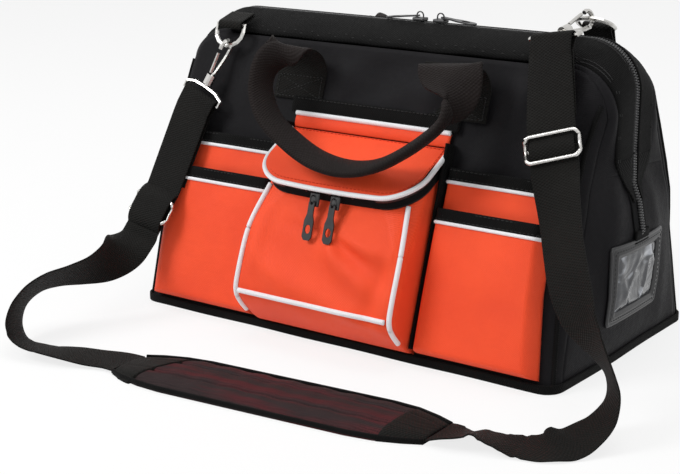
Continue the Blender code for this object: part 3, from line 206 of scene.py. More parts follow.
def grid_faces(rows: int, columns: int, wrap: bool) -> Array:
    """Quads between the rows of a grid of points, closed across the columns where it wraps."""
    across = columns if wrap else columns - 1
    i, j = np.meshgrid(np.arange(rows - 1), np.arange(across), indexing="ij")
    following = (j + 1) % columns
    quads = [i * columns + j, i * columns + following, (i + 1) * columns + following,
             (i + 1) * columns + j]
    return np.stack(quads, axis=-1).reshape(-1, 4)


def solid_faces(points: Array, closed: bool = False) -> list[list[int]]:
    """The faces of a tube of points, turned outwards: its sides, and its caps or the joint of its ends."""
    rows, columns = points.shape[:2]
    sides = grid_faces(rows, columns, wrap=True)
    if closed:
        first, last = np.arange(columns), np.arange(columns) + (rows - 1) * columns
        ends = np.stack([last, np.roll(last, -1), np.roll(first, -1), first], axis=1).tolist()
    else:
        ends = [list(range(columns))[::-1], list(range((rows - 1) * columns, rows * columns))]
    faces = sides.tolist() + ends
    inside_out = signed_volume(points.reshape(-1, 3), sides) < 0
    return [face[::-1] for face in faces] if inside_out else faces


def signed_volume(points: Array, quads: Array) -> float:
    """Six times the volume under a set of quads, positive where they point outwards."""
    centre = points.mean(axis=0)
    a, b, c, d = (points[quads[:, k]] - centre for k in range(4))
    return float(np.sum(np.cross(a, b) * c) + np.sum(np.cross(a, c) * d))


def make_piece(name: str, points: Array, faces: list, finish: "Finish", uv: Array | None = None,
               wall: float = 0.0, body: Body | Bend = Body.BAG, node: str = "") -> bpy.types.Object:
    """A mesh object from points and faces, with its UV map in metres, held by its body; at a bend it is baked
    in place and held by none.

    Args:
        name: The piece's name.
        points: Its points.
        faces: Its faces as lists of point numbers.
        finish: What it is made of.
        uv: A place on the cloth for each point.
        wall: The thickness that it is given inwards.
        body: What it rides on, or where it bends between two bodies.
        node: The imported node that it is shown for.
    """
    mesh = bpy.data.meshes.new(name)
    mesh.from_pydata(points.reshape(-1, 3).tolist(), [], faces)
    if uv is not None:
        corners = np.empty(len(mesh.loops), dtype=np.int32)
        mesh.loops.foreach_get("vertex_index", corners)
        layer = mesh.uv_layers.new(name="thread")
        layer.data.foreach_set("uv", uv.reshape(-1, 2)[corners].astype(np.float32).ravel())
    mesh.polygons.foreach_set("use_smooth", [True] * len(mesh.polygons))
    mesh.materials.append(finish.material())
    mesh.update()
    piece = bpy.data.objects.new(name, mesh)
    bpy.context.scene.collection.objects.link(piece)
    if wall:
        shell = piece.modifiers.new("wall", "SOLIDIFY")
        shell.thickness, shell.offset = wall, -1.0
    if isinstance(body, Bend):
        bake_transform(piece)
    else:
        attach(piece, body.value)
    if node:
        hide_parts(node)
    return piece


def cloth_grid(name: str, points: Array, finish: "Finish", outward: Array, thickness: float,
               uv: Array | None = None, **held: object) -> bpy.types.Object:
    """A sheet of cloth from a grid of its outer face, given a thickness inwards.

    The UV of a point is the length along its column and its row, so that the weave follows the cloth.
    """
    rows, columns = points.shape[:2]
    if uv is None:
        u, v = arc_length(points[rows // 2]), arc_length(points[:, columns // 2])
        uv = np.stack(np.broadcast_arrays(u[None, :], v[:, None]), axis=-1)
    faces = grid_faces(rows, columns, wrap=False)
    a, b, c = (points.reshape(-1, 3)[faces[:, k]] for k in (0, 1, 3))
    if np.sum(np.cross(b - a, c - a) @ np.asarray(outward, float)) < 0:
        faces = faces[:, ::-1]
    return make_piece(name, points, faces.tolist(), finish, uv, thickness, **held)


def swept(name: str, path: Array, across: Array, outline: Array, finish: "Finish",
          closed: bool = False, **held: object) -> bpy.types.Object:
    """A profile carried along a path: path + across * a + normal * b, with flat caps at open ends.

    Args:
        name: The piece's name.
        path: The path's points.
        across: The direction of the profile's first axis, or one for each point.
        outline: The profile, or one for each point of the path.
        finish: What it is made of.
        closed: Whether the path joins up with its own start.
        held: Its body and node, as make_piece takes them.
    """
    run = runs_of(path, closed)
    across = square_to(run, across)
    outline = np.broadcast_to(outline, (len(path), *outline.shape[-2:]))
    normal = np.cross(run, across)
    points = path[:, None] + across[:, None] * outline[..., :1] + normal[:, None] * outline[..., 1:]
    uv = np.stack(np.broadcast_arrays(arc_length(path)[:, None], outline[..., 0]), axis=-1)
    return make_piece(name, points, solid_faces(points, closed), finish, uv, **held)


def tube(name: str, path: Array, radius: float, finish: "Finish", closed: bool = False,
         sides: int = 12, **held: object) -> bpy.types.Object:
    """A round cord or wire along a path."""
    run = runs_of(path, closed)
    spare = np.where(np.abs(run[:, 2:]) > 0.9, np.array([[1.0, 0.0, 0.0]]), UP[None])
    return swept(name, path, np.cross(run, spare), round_outline(radius, sides), finish, closed, **held)


BRICK_FACES = np.array([(0, 3, 2, 1), (4, 5, 6, 7), (0, 1, 5, 4), (1, 2, 6, 5), (2, 3, 7, 6), (3, 0, 4, 7)])


def tooth(width: float, height: float) -> Array:
    """A zip's tooth."""
    return brick(0.0014, width, height, 0.75)


def brick(length: float, width: float, height: float, taper: float = 0.55) -> Array:
    """A small block with a narrower top, for a stitch or a zip's tooth."""
    x, y = length / 2, width / 2
    low = np.array([(-x, -y, 0), (x, -y, 0), (x, y, 0), (-x, y, 0)])
    return np.vstack([low, low * taper + UP * height])


def bricks(name: str, corners: Array, frames: Array, centres: Array, finish: "Finish",
           **held: object) -> bpy.types.Object:
    """Many copies of one block: centre + corner * frame, where a frame's rows are the copy's axes."""
    points = centres[:, None] + np.einsum("kc,ncd->nkd", corners, frames)
    shift = np.arange(len(centres))[:, None, None] * len(corners)
    return make_piece(name, points, (BRICK_FACES + shift).reshape(-1, 4).tolist(), finish, **held)


def along_frames(path: Array, normal: Array, spacing: float) -> tuple[Array, Array]:
    """Places an even length apart on a path, and their axes: along, across and out."""
    length = arc_length(path)[-1]
    count = max(int(length / spacing), 2)
    both = resampled(np.hstack([path, np.broadcast_to(normal, path.shape)]), count)
    places, out = both[:, :3], unit(both[:, 3:])
    run = runs_of(places)
    side = unit(np.cross(out, run))
    return places, np.stack([run, side, np.cross(run, side)], axis=1)


def stitches(name: str, path: Array, normal: Array, finish: "Finish", spacing: float = 0.0036,
             length: float = 0.0027, **held: object) -> bpy.types.Object:
    """A row of stitches along a seam, each a short raised thread."""
    places, axes = along_frames(path, normal, spacing)
    return bricks(name, brick(length, 0.0007, 0.0004), axes, places, finish, **held)


@dataclass(frozen=True)
class Fold:
    """One soft ridge, or with a negative height a dent: a stretched bell, turned on the cloth."""

    across: float
    up: float
    turn: float
    length: float
    width: float
    height: float

    def at(self, across: Array, up: Array) -> Array:
        """Its height at places on the cloth: h * exp(-(a/length)^2 - (b/width)^2)."""
        c, s = math.cos(math.radians(self.turn)), math.sin(math.radians(self.turn))
        dx, dz = across - self.across, up - self.up
        a, b = dx * c + dz * s, dz * c - dx * s
        return self.height * np.exp(-(a / self.length) ** 2 - (b / self.width) ** 2)


def relief(folds: tuple[Fold, ...], across: Array, up: Array) -> Array:
    """The folds of one piece of cloth added up."""
    return sum((fold.at(across, up) for fold in folds), np.zeros(np.broadcast(across, up).shape))


class Nodes:
    """A short way to write a shader tree."""

    def __init__(self, tree: bpy.types.NodeTree) -> None:
        """Keeps the tree."""
        self.tree = tree

    def feed(self, node: bpy.types.Node, values: dict) -> None:
        """Links each of a node's inputs to a socket, or gives it a number."""
        for key, value in values.items():
            if isinstance(value, bpy.types.NodeSocket):
                self.tree.links.new(value, node.inputs[key])
            else:
                node.inputs[key].default_value = value

    def add(self, kind: str, values: dict | None = None, **settings: object) -> bpy.types.Node:
        """A node with its settings, and its inputs linked or given values."""
        node = self.tree.nodes.new("ShaderNode" + kind)
        for key, value in settings.items():
            setattr(node, key, value)
        self.feed(node, values or {})
        return node

    def find(self, kind: str) -> bpy.types.Node:
        """The tree's first node of a kind."""
        return next(node for node in self.tree.nodes if node.type == kind)

    def math(self, operation: str, first: object, second: object = 0.0) -> bpy.types.NodeSocket:
        """One sum on one or two values."""
        return self.add("Math", {0: first, 1: second}, operation=operation).outputs[0]

    def spread(self, value: object, low: float, high: float, to_low: float,
               to_high: float) -> bpy.types.NodeSocket:
        """A value moved from one range to another, clamped."""
        values = {"Value": value, "From Min": low, "From Max": high, "To Min": to_low, "To Max": to_high}
        return self.add("MapRange", values).outputs["Result"]

    def mix(self, share: object, first: Place, second: Place | bpy.types.NodeSocket) -> bpy.types.NodeSocket:
        """Two colours mixed by a share."""
        first, second = ((*value, 1.0) if isinstance(value, tuple) else value for value in (first, second))
        return self.add("Mix", {0: share, 6: first, 7: second}, data_type="RGBA").outputs[2]

    def bump(self, height: object, distance: float, strength: float, **under: object) -> bpy.types.NodeSocket:
        """A normal tilted by a height, over another normal where one is given."""
        values = {"Height": height, "Distance": distance, "Strength": strength, **under}
        return self.add("Bump", values).outputs[0]

    def place(self, space: str) -> bpy.types.NodeSocket:
        """The place shaded, as UV or in the object's space."""
        return self.add("TexCoord").outputs[space]

    def mottle(self, place: bpy.types.NodeSocket, scale: float) -> bpy.types.Node:
        """Slow and fine changes of shade over a surface."""
        return self.add("Group", {"Vector": place, "Scale": scale}, node_tree=mottle_group())


def new_group(name: str, inputs: dict[str, float | None], outputs: list[str]) -> tuple:
    """An empty shader group with named sockets. An input without a number is a vector.

    Returns:
        The group, its Nodes, its input node's outputs and its output node.
    """
    group = bpy.data.node_groups.new(name, "ShaderNodeTree")
    for label, value in inputs.items():
        kind = "NodeSocketVector" if value is None else "NodeSocketFloat"
        socket = group.interface.new_socket(label, in_out="INPUT", socket_type=kind)
        if value is not None:
            socket.default_value = value
    for label in outputs:
        group.interface.new_socket(label, in_out="OUTPUT", socket_type="NodeSocketFloat")
    start, end = group.nodes.new("NodeGroupInput"), group.nodes.new("NodeGroupOutput")
    return group, Nodes(group), start.outputs, end


@cache
def weave_group() -> bpy.types.NodeTree:
    """Crossing threads, 0.5 + 0.5 sin(threads u) sin(picks v), with thicker yarns here and there."""
    group, nodes, given, end = new_group(
        "crossing_threads", {"Vector": None, "Threads": 900.0, "Picks": 900.0, "Slub": 0.3},
        ["Height", "Slub"])
    u, v = nodes.add("SeparateXYZ", {0: given["Vector"]}).outputs[:2]
    counts = [nodes.math("MULTIPLY", place, given[label]) for place, label in ((u, "Threads"), (v, "Picks"))]
    turns = [nodes.math("SINE", nodes.math("MULTIPLY", count, 2 * math.pi)) for count in counts]
    crossing = nodes.math("MULTIPLY_ADD", nodes.math("MULTIPLY", *turns), 0.5)
    crossing.node.inputs[2].default_value = 0.5
    stretched = {0: nodes.math("MULTIPLY", u, 30.0), 1: nodes.math("MULTIPLY", v, 700.0)}
    stretch = nodes.add("CombineXYZ", stretched)
    yarn = nodes.add("TexNoise", {"Vector": stretch.outputs[0], "Scale": 1.0, "Detail": 1.0}).outputs[0]
    slub = nodes.math("MULTIPLY", yarn, given["Slub"])
    nodes.feed(end, {"Height": nodes.math("ADD", crossing, slub), "Slub": yarn})
    return group


@cache
def mottle_group() -> bpy.types.NodeTree:
    """Slow changes of shade over a surface: two octaves of noise, spread round one half."""
    group, nodes, given, end = new_group(
        "slow_shade", {"Vector": None, "Scale": 20.0, "Contrast": 1.0}, ["Shade", "Fine"])
    finer = nodes.math("MULTIPLY", given["Scale"], 14.0)
    octaves = [{"Vector": given["Vector"], "Scale": scale, "Detail": detail}
               for scale, detail in ((given["Scale"], 3.0), (finer, 2.0))]
    broad, fine = (nodes.add("TexNoise", octave).outputs[0] for octave in octaves)
    centred = nodes.math("MULTIPLY", nodes.math("SUBTRACT", broad, 0.5), given["Contrast"])
    nodes.feed(end, {"Shade": nodes.math("ADD", centred, 0.5), "Fine": fine})
    return group


@dataclass(frozen=True)
class Finish:
    """What a piece is made of. Each kind fills in its own shader once and keeps it."""

    name: str

    def material(self) -> bpy.types.Material:
        """The finish as a material, made the first time it is asked for."""
        found = bpy.data.materials.get(self.name)
        if found:
            return found
        material = bpy.data.materials.new(self.name)
        material.use_nodes = True
        nodes = Nodes(material.node_tree)
        nodes.feed(nodes.find("BSDF_PRINCIPLED"), self.inputs(nodes))
        return material

    def inputs(self, nodes: Nodes) -> dict:
        """What the shader's inputs are linked to or set to."""
        raise NotImplementedError


@dataclass(frozen=True)
class Cloth(Finish):
    """Woven cloth: crossing threads on the piece's UV map, slow shade and a soft sheen."""

    colour: Place = (0.5, 0.5, 0.5)
    deep: Place = (0.3, 0.3, 0.3)
    threads: float = 620.0
    picks: float = 620.0
    depth: float = 0.00022
    roughness: float = 0.7
    sheen: float = 0.15
    crumple: float = 0.0006
    crumple_scale: float = 26.0
    gloss: float = 0.12

    def inputs(self, nodes: Nodes) -> dict:
        """Colour from thread and slow shade; bump from threads and from small creases."""
        thread = {"Vector": nodes.place("UV"), "Threads": self.threads, "Picks": self.picks}
        height = nodes.add("Group", thread, node_tree=weave_group()).outputs["Height"]
        shade, fine = nodes.mottle(nodes.place("Object"), self.crumple_scale).outputs
        woven = nodes.spread(height, 0.0, 1.2, 0.0, 0.45)
        slow = nodes.spread(shade, 0.3, 0.7, 0.0, 0.4)
        share = nodes.math("SUBTRACT", 0.85, nodes.math("ADD", woven, slow))
        share.node.use_clamp = True
        return {"Base Color": nodes.mix(share, self.colour, self.deep),
                "Roughness": nodes.spread(fine, 0.2, 0.8, self.roughness - 0.08, self.roughness + 0.06),
                "Normal": nodes.bump(height, self.depth, 0.8, Normal=nodes.bump(shade, self.crumple, 1.0)),
                "Sheen Weight": self.sheen, "Sheen Roughness": 0.5, "Specular IOR Level": self.gloss}


@dataclass(frozen=True)
class Metal(Finish):
    """Plated or enamelled metal with fine wear: brighter and rougher in worn patches."""

    colour: Place = (0.8, 0.8, 0.8)
    worn: Place = (0.6, 0.6, 0.6)
    metallic: float = 1.0
    roughness: float = 0.2

    def inputs(self, nodes: Nodes) -> dict:
        """Colour and roughness from slow shade, bump from its fine part."""
        shade, fine = nodes.mottle(nodes.place("Object"), 140.0).outputs
        patch = nodes.spread(shade, 0.45, 0.75, 0.0, 1.0)
        return {"Base Color": nodes.mix(patch, self.colour, self.worn),
                "Roughness": nodes.spread(patch, 0.0, 1.0, self.roughness, self.roughness + 0.14),
                "Normal": nodes.bump(fine, 0.00003, 0.6), "Metallic": self.metallic}


@dataclass(frozen=True)
class Moulded(Finish):
    """Moulded plastic or board: a fine grain and faint scuffs."""

    colour: Place = (0.05, 0.05, 0.05)
    scuffed: Place = (0.12, 0.12, 0.12)
    roughness: float = 0.45
    grain: float = 900.0

    def inputs(self, nodes: Nodes) -> dict:
        """Colour from scuffs, bump from a cell grain."""
        space = nodes.place("Object")
        scuff = nodes.spread(nodes.mottle(space, 60.0).outputs["Fine"], 0.5, 0.75, 0.0, 0.5)
        cells = nodes.add("TexVoronoi", {"Vector": space, "Scale": self.grain}).outputs["Distance"]
        return {"Base Color": nodes.mix(scuff, self.colour, self.scuffed),
                "Normal": nodes.bump(cells, 0.00012, 0.5), "Roughness": self.roughness}


@dataclass(frozen=True)
class ClearFilm(Finish):
    """Creased clear vinyl over a dark card pocket: glossy grey, with pale highlights painted into its colour
    along the creases.
    """

    colour: Place = (0.035, 0.038, 0.044)
    # Painted highlight: the pale colour that stands in for reflections off the creases.
    painted_highlight: Place = (0.44, 0.46, 0.50)

    def inputs(self, nodes: Nodes) -> dict:
        """Gloss with a strong slow bump, and pale highlights painted where the film is creased."""
        warp = nodes.add("TexNoise", {"Vector": nodes.place("Object"), "Scale": 26.0, "Detail": 2.0,
                                      "Distortion": 1.6}).outputs[0]
        # Painted highlight: the pale colour is mixed in where the crease noise is high.
        return {"Base Color": nodes.mix(nodes.spread(warp, 0.55, 0.64, 0.0, 1.0), self.colour, self.painted_highlight),
                "Normal": nodes.bump(warp, 0.004, 0.9), "Roughness": 0.09, "Coat Weight": 0.3,
                "Coat Roughness": 0.04}


@dataclass(frozen=True)
class SpacerMesh(Finish):
    """The pad's knitted mesh: small holes in rows, darkened with painted shade, and warm tints where the
    backing shows through.
    """

    colour: Place = (0.036, 0.027, 0.0275)
    backing: Place = (0.085, 0.022, 0.025)
    # Painted shade: the near-black colour for the inside of the holes.
    painted_hole_shade: Place = (0.008, 0.008, 0.009)
    holes: float = 560.0

    def inputs(self, nodes: Nodes) -> dict:
        """Voronoi cells on the UV map are the holes, darkened with painted shade; slow shade picks where the
        backing shows.
        """
        uv = nodes.place("UV")
        cells = nodes.add("TexVoronoi", {"Vector": uv, "Scale": self.holes, "Randomness": 0.25})
        distance = cells.outputs["Distance"]
        # Painted shade: strongest at each hole's middle, mixed in at 0.6 below.
        painted_hole_shade = nodes.spread(distance, 0.15, 0.5, 1.0, 0.0)
        stretch = nodes.add("Mapping", {"Vector": uv, "Scale": (1.0, 9.0, 1.0)})
        warm = nodes.spread(nodes.mottle(stretch.outputs[0], 9.0).outputs["Shade"], 0.44, 0.60, 0.04, 0.85)
        base = nodes.mix(warm, self.colour, self.backing)
        return {"Base Color": nodes.mix(nodes.math("MULTIPLY", painted_hole_shade, 0.6), base, self.painted_hole_shade),
                "Normal": nodes.bump(distance, 0.0005, 0.9), "Roughness": 0.55, "Specular IOR Level": 0.02}


ORANGE = Cloth("orange_nylon", (0.93, 0.086, 0.021), (0.74, 0.052, 0.014), crumple=0.0012, sheen=0.03,
               roughness=0.60, gloss=0.25)
BLACK = Cloth("black_nylon", (0.0100, 0.0094, 0.0108), (0.0044, 0.0042, 0.0048), crumple=0.0022,
              roughness=0.58, sheen=0.02, gloss=0.07)
WEBBING = Cloth("black_webbing", (0.0088, 0.0083, 0.0073), (0.0026, 0.0025, 0.0023), threads=420.0,
                picks=260.0, depth=0.0006, roughness=0.66, crumple=0.0003, sheen=0.02, gloss=0.07)
GRIP_WEBBING = Cloth("grip_webbing", (0.0110, 0.0072, 0.0066), (0.0036, 0.0025, 0.0023), threads=420.0,
                     picks=260.0, depth=0.0006, roughness=0.66, crumple=0.0004, sheen=0.02, gloss=0.10)
BINDING = Cloth("black_binding_tape", (0.0068, 0.0067, 0.0067), (0.0022, 0.0022, 0.0022), threads=560.0,
                picks=300.0, depth=0.0005, roughness=0.70, crumple=0.0003, sheen=0.02, gloss=0.04)
PIPING = Cloth("white_piping", (0.84, 0.84, 0.86), (0.70, 0.70, 0.72), threads=600.0, picks=600.0,
               depth=0.00012, roughness=0.55, crumple=0.0002, sheen=0.0)
TAPE = Cloth("zip_tape", (0.0090, 0.0090, 0.0095), (0.0030, 0.0030, 0.0034), threads=900.0, picks=450.0,
             depth=0.0003, roughness=0.8, crumple=0.0001, sheen=0.01, gloss=0.08)
THREAD = Cloth("black_thread", (0.030, 0.030, 0.030), (0.014, 0.014, 0.014), threads=1500.0,
               picks=1500.0, depth=0.00008, roughness=0.6, crumple=0.0001, sheen=0.02)
ORANGE_THREAD = Cloth("orange_thread", (0.66, 0.050, 0.015), (0.50, 0.036, 0.011), threads=1500.0,
                      picks=1500.0, depth=0.00008, roughness=0.6, crumple=0.0001, sheen=0.0)
NICKEL = Metal("bright_nickel", (0.56, 0.55, 0.53), (0.40, 0.39, 0.37), 1.0, 0.20)
ENAMEL = Metal("black_enamel", (0.007, 0.007, 0.008), (0.016, 0.016, 0.017), 0.0, 0.36)
STEEL = Metal("frame_steel", (0.36, 0.36, 0.37), (0.24, 0.235, 0.23), 1.0, 0.34)
COIL = Moulded("zip_coil", (0.018, 0.018, 0.019), (0.05, 0.05, 0.052), 0.36, 1600.0)
WINDOW_RIM = Moulded("card_window_plastic", (0.010, 0.010, 0.011), (0.026, 0.026, 0.027), 0.36, 1100.0)
BOARD = Moulded("stiff_board", (0.030, 0.030, 0.032), (0.06, 0.06, 0.06), 0.6, 700.0)
FILM = ClearFilm("creased_card_film")
MESH = SpacerMesh("quilted_mesh")


@dataclass(frozen=True)
class BagForm:
    """The bag's main sizes, and where its filled walls lie."""

    length: float = 0.406
    depth: float = 0.228
    shoulder_height: float = 0.238
    shoulder_depth: float = 0.073
    ridge_height: float = 0.2535
    hinge_height: float = 0.165
    edge_radius: float = 0.012
    mouth_radius: float = 0.036
    leg_width: float = 0.030
    wall: float = 0.0024
    casing: float = 0.0022
    standoff: float = 0.0014

    @property
    def slope(self) -> float:
        """The walls' lean."""
        return math.atan2((self.depth - self.shoulder_depth) / 2, self.shoulder_height)

    @property
    def out(self) -> Array:
        """The front's outward direction."""
        return np.array([0.0, -math.cos(self.slope), math.sin(self.slope)])

    def half_depth(self, z: Array) -> Array:
        """Half the depth at a height: it falls evenly from the base to the shoulder."""
        return self.depth / 2 - math.tan(self.slope) * z

    def on_front(self, across: Array, up: Array, out: Array) -> Array:
        """Points from a place across, up the slope and out from the front wall."""
        across, up, out = np.broadcast_arrays(across, up, out)
        s, c = math.sin(self.slope), math.cos(self.slope)
        return np.stack([across, -self.depth / 2 + up * s - out * c, up * c + out * s], axis=-1)

    def settle(self, points: Array) -> Array:
        """Where the filled cloth lies: its ends swell and its corners draw in or out, by height.

        The move along X is swell(z) (1 - q^2) + corner(z) q^3, where q is 0 on the middle line of an
        end and 1 at its corners, and it fades in from 148 mm to 200 mm from the middle of the bag.
        """
        x, y, z = np.moveaxis(np.asarray(points, float), -1, 0)
        q = np.clip(np.abs(y) / np.maximum(self.half_depth(z), 1e-3), 0.0, 1.0)
        swell = np.interp(z, [0.0, 0.02, 0.06, 0.107, 0.128, 0.143, 0.178],
                          [0.001, 0.003, 0.009, 0.0110, 0.007, 0.0012, 0.0])
        right_front = np.interp(z, [0.0, 0.03, 0.068, 0.111, 0.175, 0.198, 0.215, 0.231],
                                [-0.001, -0.006, -0.012, -0.0145, -0.0135, -0.009, -0.003, -0.0012])
        left_front = np.interp(z, [0.0, 0.047, 0.18, 0.202, 0.224, 0.235],
                               [0.002, 0.004, 0.0085, 0.0055, 0.001, 0.0])
        back = np.interp(z, [0.0, 0.09, 0.124, 0.147, 0.18, 0.213, 0.230],
                         [0.003, 0.002, 0.006, 0.006, 0.003, -0.001, -0.003])
        corner = np.where(y > 0, back, np.where(x > 0, right_front, left_front))
        near = smoothstep(0.148, 0.200, np.abs(x))
        move = swell * (1 - q ** 2) + corner * q ** 3
        return np.stack([x + np.sign(x) * near * move, y, z], axis=-1)

    def wall_top(self, x: Array) -> Array:
        """Height of the wall's upper edge: level, then round at the mouth's corners."""
        top = self.shoulder_height - self.casing - self.standoff
        over = np.clip(np.abs(x) - (self.length / 2 - self.mouth_radius), 0.0, self.mouth_radius)
        return top - self.mouth_radius + np.sqrt(self.mouth_radius ** 2 - over ** 2)

    def wall_plan(self, steps: int = 8, flats: int = 130) -> tuple[Array, Array]:
        """The front wall from above: X, and how far it stands back from the front at the round edges."""
        half, r = self.length / 2, self.edge_radius
        turn = np.linspace(0, np.pi / 2, steps + 1)
        corner_x, corner_back = -half + r * (1 - np.cos(turn)), r - r * np.sin(turn)
        flat = np.linspace(-half + r, half - r, flats)[1:-1]
        x = np.concatenate([corner_x, flat, -corner_x[::-1]])
        back = np.concatenate([corner_back, np.zeros_like(flat), corner_back[::-1]])
        return x, back

    def on_end(self, side: Side, y: Array, z: Array, out: float = 0.0) -> Array:
        """Points on an end where its filled cloth lies, standing out from it."""
        x = side.value * (self.length / 2 + out)
        return self.settle(np.stack(np.broadcast_arrays(x, y, z), axis=-1))


FORM = BagForm()
FOLD_START: Place = (0, 0.03, FORM.hinge_height)
MOUTH_FOLD = Bend(Body.BAG, Body.MOUTH, FOLD_START, (0, 0.03, FORM.hinge_height + 0.026))


def mirrored(points: Array) -> Array:
    """The same points on the back of the bag."""
    return points * np.array([1.0, -1.0, 1.0])


@dataclass
class Tub:
    """The bag's walls, base, edge binding and corner seams."""

    form: BagForm = FORM
    foot: float = 0.0030
    levels: int = 64
    seam_radius: float = 0.0019
    binding_height: float = 0.0082
    binding_thickness: float = 0.0021
    shoulder_bow: float = 0.0030
    shoulder_drop: float = 0.046
    shoulder_cloth: float = 0.0016
    shoulder_tuck: float = 0.001
    hem_in: float = 0.004
    hem_out: float = 0.0004
    fold_gain: float = 1.5
    upper_folds: tuple[Fold, ...] = (
        Fold(0.055, 0.205, 62, 0.045, 0.014, 0.0024), Fold(0.100, 0.195, 78, 0.040, 0.013, -0.0020),
        Fold(0.130, 0.205, 70, 0.045, 0.012, 0.0026), Fold(0.168, 0.178, 64, 0.050, 0.010, 0.0030),
        Fold(0.186, 0.150, 80, 0.050, 0.008, -0.0030), Fold(0.000, 0.212, 80, 0.030, 0.016, -0.0016),
        Fold(-0.035, 0.205, 75, 0.032, 0.012, 0.0018), Fold(-0.130, 0.200, 84, 0.036, 0.014, 0.0020),
        Fold(-0.160, 0.190, 70, 0.040, 0.012, -0.0018), Fold(0.020, 0.196, 20, 0.050, 0.012, 0.0014),
        Fold(-0.175, 0.130, 88, 0.050, 0.012, 0.0016), Fold(0.080, 0.230, 5, 0.090, 0.008, -0.0010))
    back_folds: tuple[Fold, ...] = (
        Fold(-0.110, 0.110, 58, 0.075, 0.020, 0.0034), Fold(-0.040, 0.090, 82, 0.080, 0.024, -0.0026),
        Fold(0.060, 0.110, 64, 0.085, 0.022, 0.0032), Fold(0.140, 0.080, 76, 0.075, 0.020, -0.0026),
        Fold(0.000, 0.052, 4, 0.160, 0.018, 0.0020), Fold(0.110, 0.190, 70, 0.040, 0.014, 0.0022),
        Fold(-0.120, 0.200, 66, 0.040, 0.014, 0.0020), Fold(0.010, 0.200, 80, 0.034, 0.016, -0.0016))
    end_folds: tuple[Fold, ...] = (
        Fold(-0.030, 0.130, 74, 0.040, 0.010, 0.0022), Fold(0.030, 0.118, 104, 0.045, 0.011, 0.0022),
        Fold(-0.062, 0.060, 80, 0.045, 0.012, -0.0016), Fold(0.060, 0.050, 96, 0.045, 0.012, 0.0018),
        Fold(0.000, 0.020, 2, 0.080, 0.009, 0.0012))

    def wall(self, low: float, high: float | None, folds: tuple[Fold, ...], levels: int,
             back: bool = False) -> Array:
        """Points of a wall between two heights: plan edges, folds, then the settled form.

        A height of None stands for the mouth's rounded upper edge.
        """
        x, inward = self.form.wall_plan()
        top = self.form.wall_top(x) if high is None else np.full_like(x, high)
        share = np.linspace(0, 1, levels)[:, None]
        z = low + (top[None] - low) * share
        flat = 1 - smoothstep(0.0, self.form.edge_radius, inward)[None]
        rise = self.fold_gain * relief(folds, x[None], z) * flat * smoothstep(1.0, 0.9, share)
        points = np.stack([np.broadcast_to(x, z.shape), -self.form.half_depth(z) + inward, z], axis=-1)
        points = points + self.form.out * rise[..., None]
        return self.form.settle(mirrored(points) if back else points)

    def end(self, side: Side, low: float, high: float, start: float, stop: float) -> Array:
        """Points of an end wall between two heights, from a start to a stop as shares of its depth."""
        z = np.linspace(low, high, 40)[:, None]
        y = (self.form.half_depth(z) - self.form.edge_radius) * np.linspace(start, stop, 56)[None]
        points = self.form.on_end(side, y, z)
        calm = smoothstep(low, low + 0.012, z) * smoothstep(self.form.hinge_height, 0.150, z)
        points[..., 0] += side.value * relief(self.end_folds, y, z) * calm
        return points

    def panel(self, name: str, points: Array, outward: Array, node: str = "",
              body: Body | Bend = Body.BAG) -> None:
        """One wall of black cloth."""
        cloth_grid(name, points, BLACK, outward, self.form.wall, body=body, node=node)

    def build(self) -> None:
        """Makes the walls, ends, shoulders, seams and base."""
        form, foot, hinge = self.form, self.foot, self.form.hinge_height
        crown = float(form.wall_top(np.array(form.length / 2)))
        rear = (0, 1, 0.3)
        self.panel("front_wall", self.wall(foot, None, self.upper_folds, self.levels), form.out,
                   "front_panel")
        self.panel("back_lower_wall", self.wall(foot, hinge, self.back_folds, 44, back=True), rear,
                   "back_panel")
        self.panel("back_upper_wall", self.wall(hinge, None, self.back_folds, 28, back=True), rear,
                   "back_upper_panel", MOUTH_FOLD)
        for side in Side:
            word, out = side.word, (side.value, 0, 0)
            self.panel(word + "_end_wall", self.end(side, foot, hinge, -1, 1), out, word + "_end_panel")
            self.panel(word + "_end_shoulder", self.end(side, hinge, crown, -1, 0), out)
            self.panel(word + "_mouth_gusset", self.end(side, hinge, crown, 0.001, 1), out,
                       word + "_back_gusset", MOUTH_FOLD)
            for label, turn, body in (("front", -1.0, Body.BAG), ("back", 1.0, MOUTH_FOLD)):
                cloth_grid(f"{word}_{label}_shoulder", self.shoulder(side, turn), BLACK,
                           (side.value, turn * 0.5, 1), self.shoulder_cloth, body=body)
        self.build_seams()
        self.build_base()

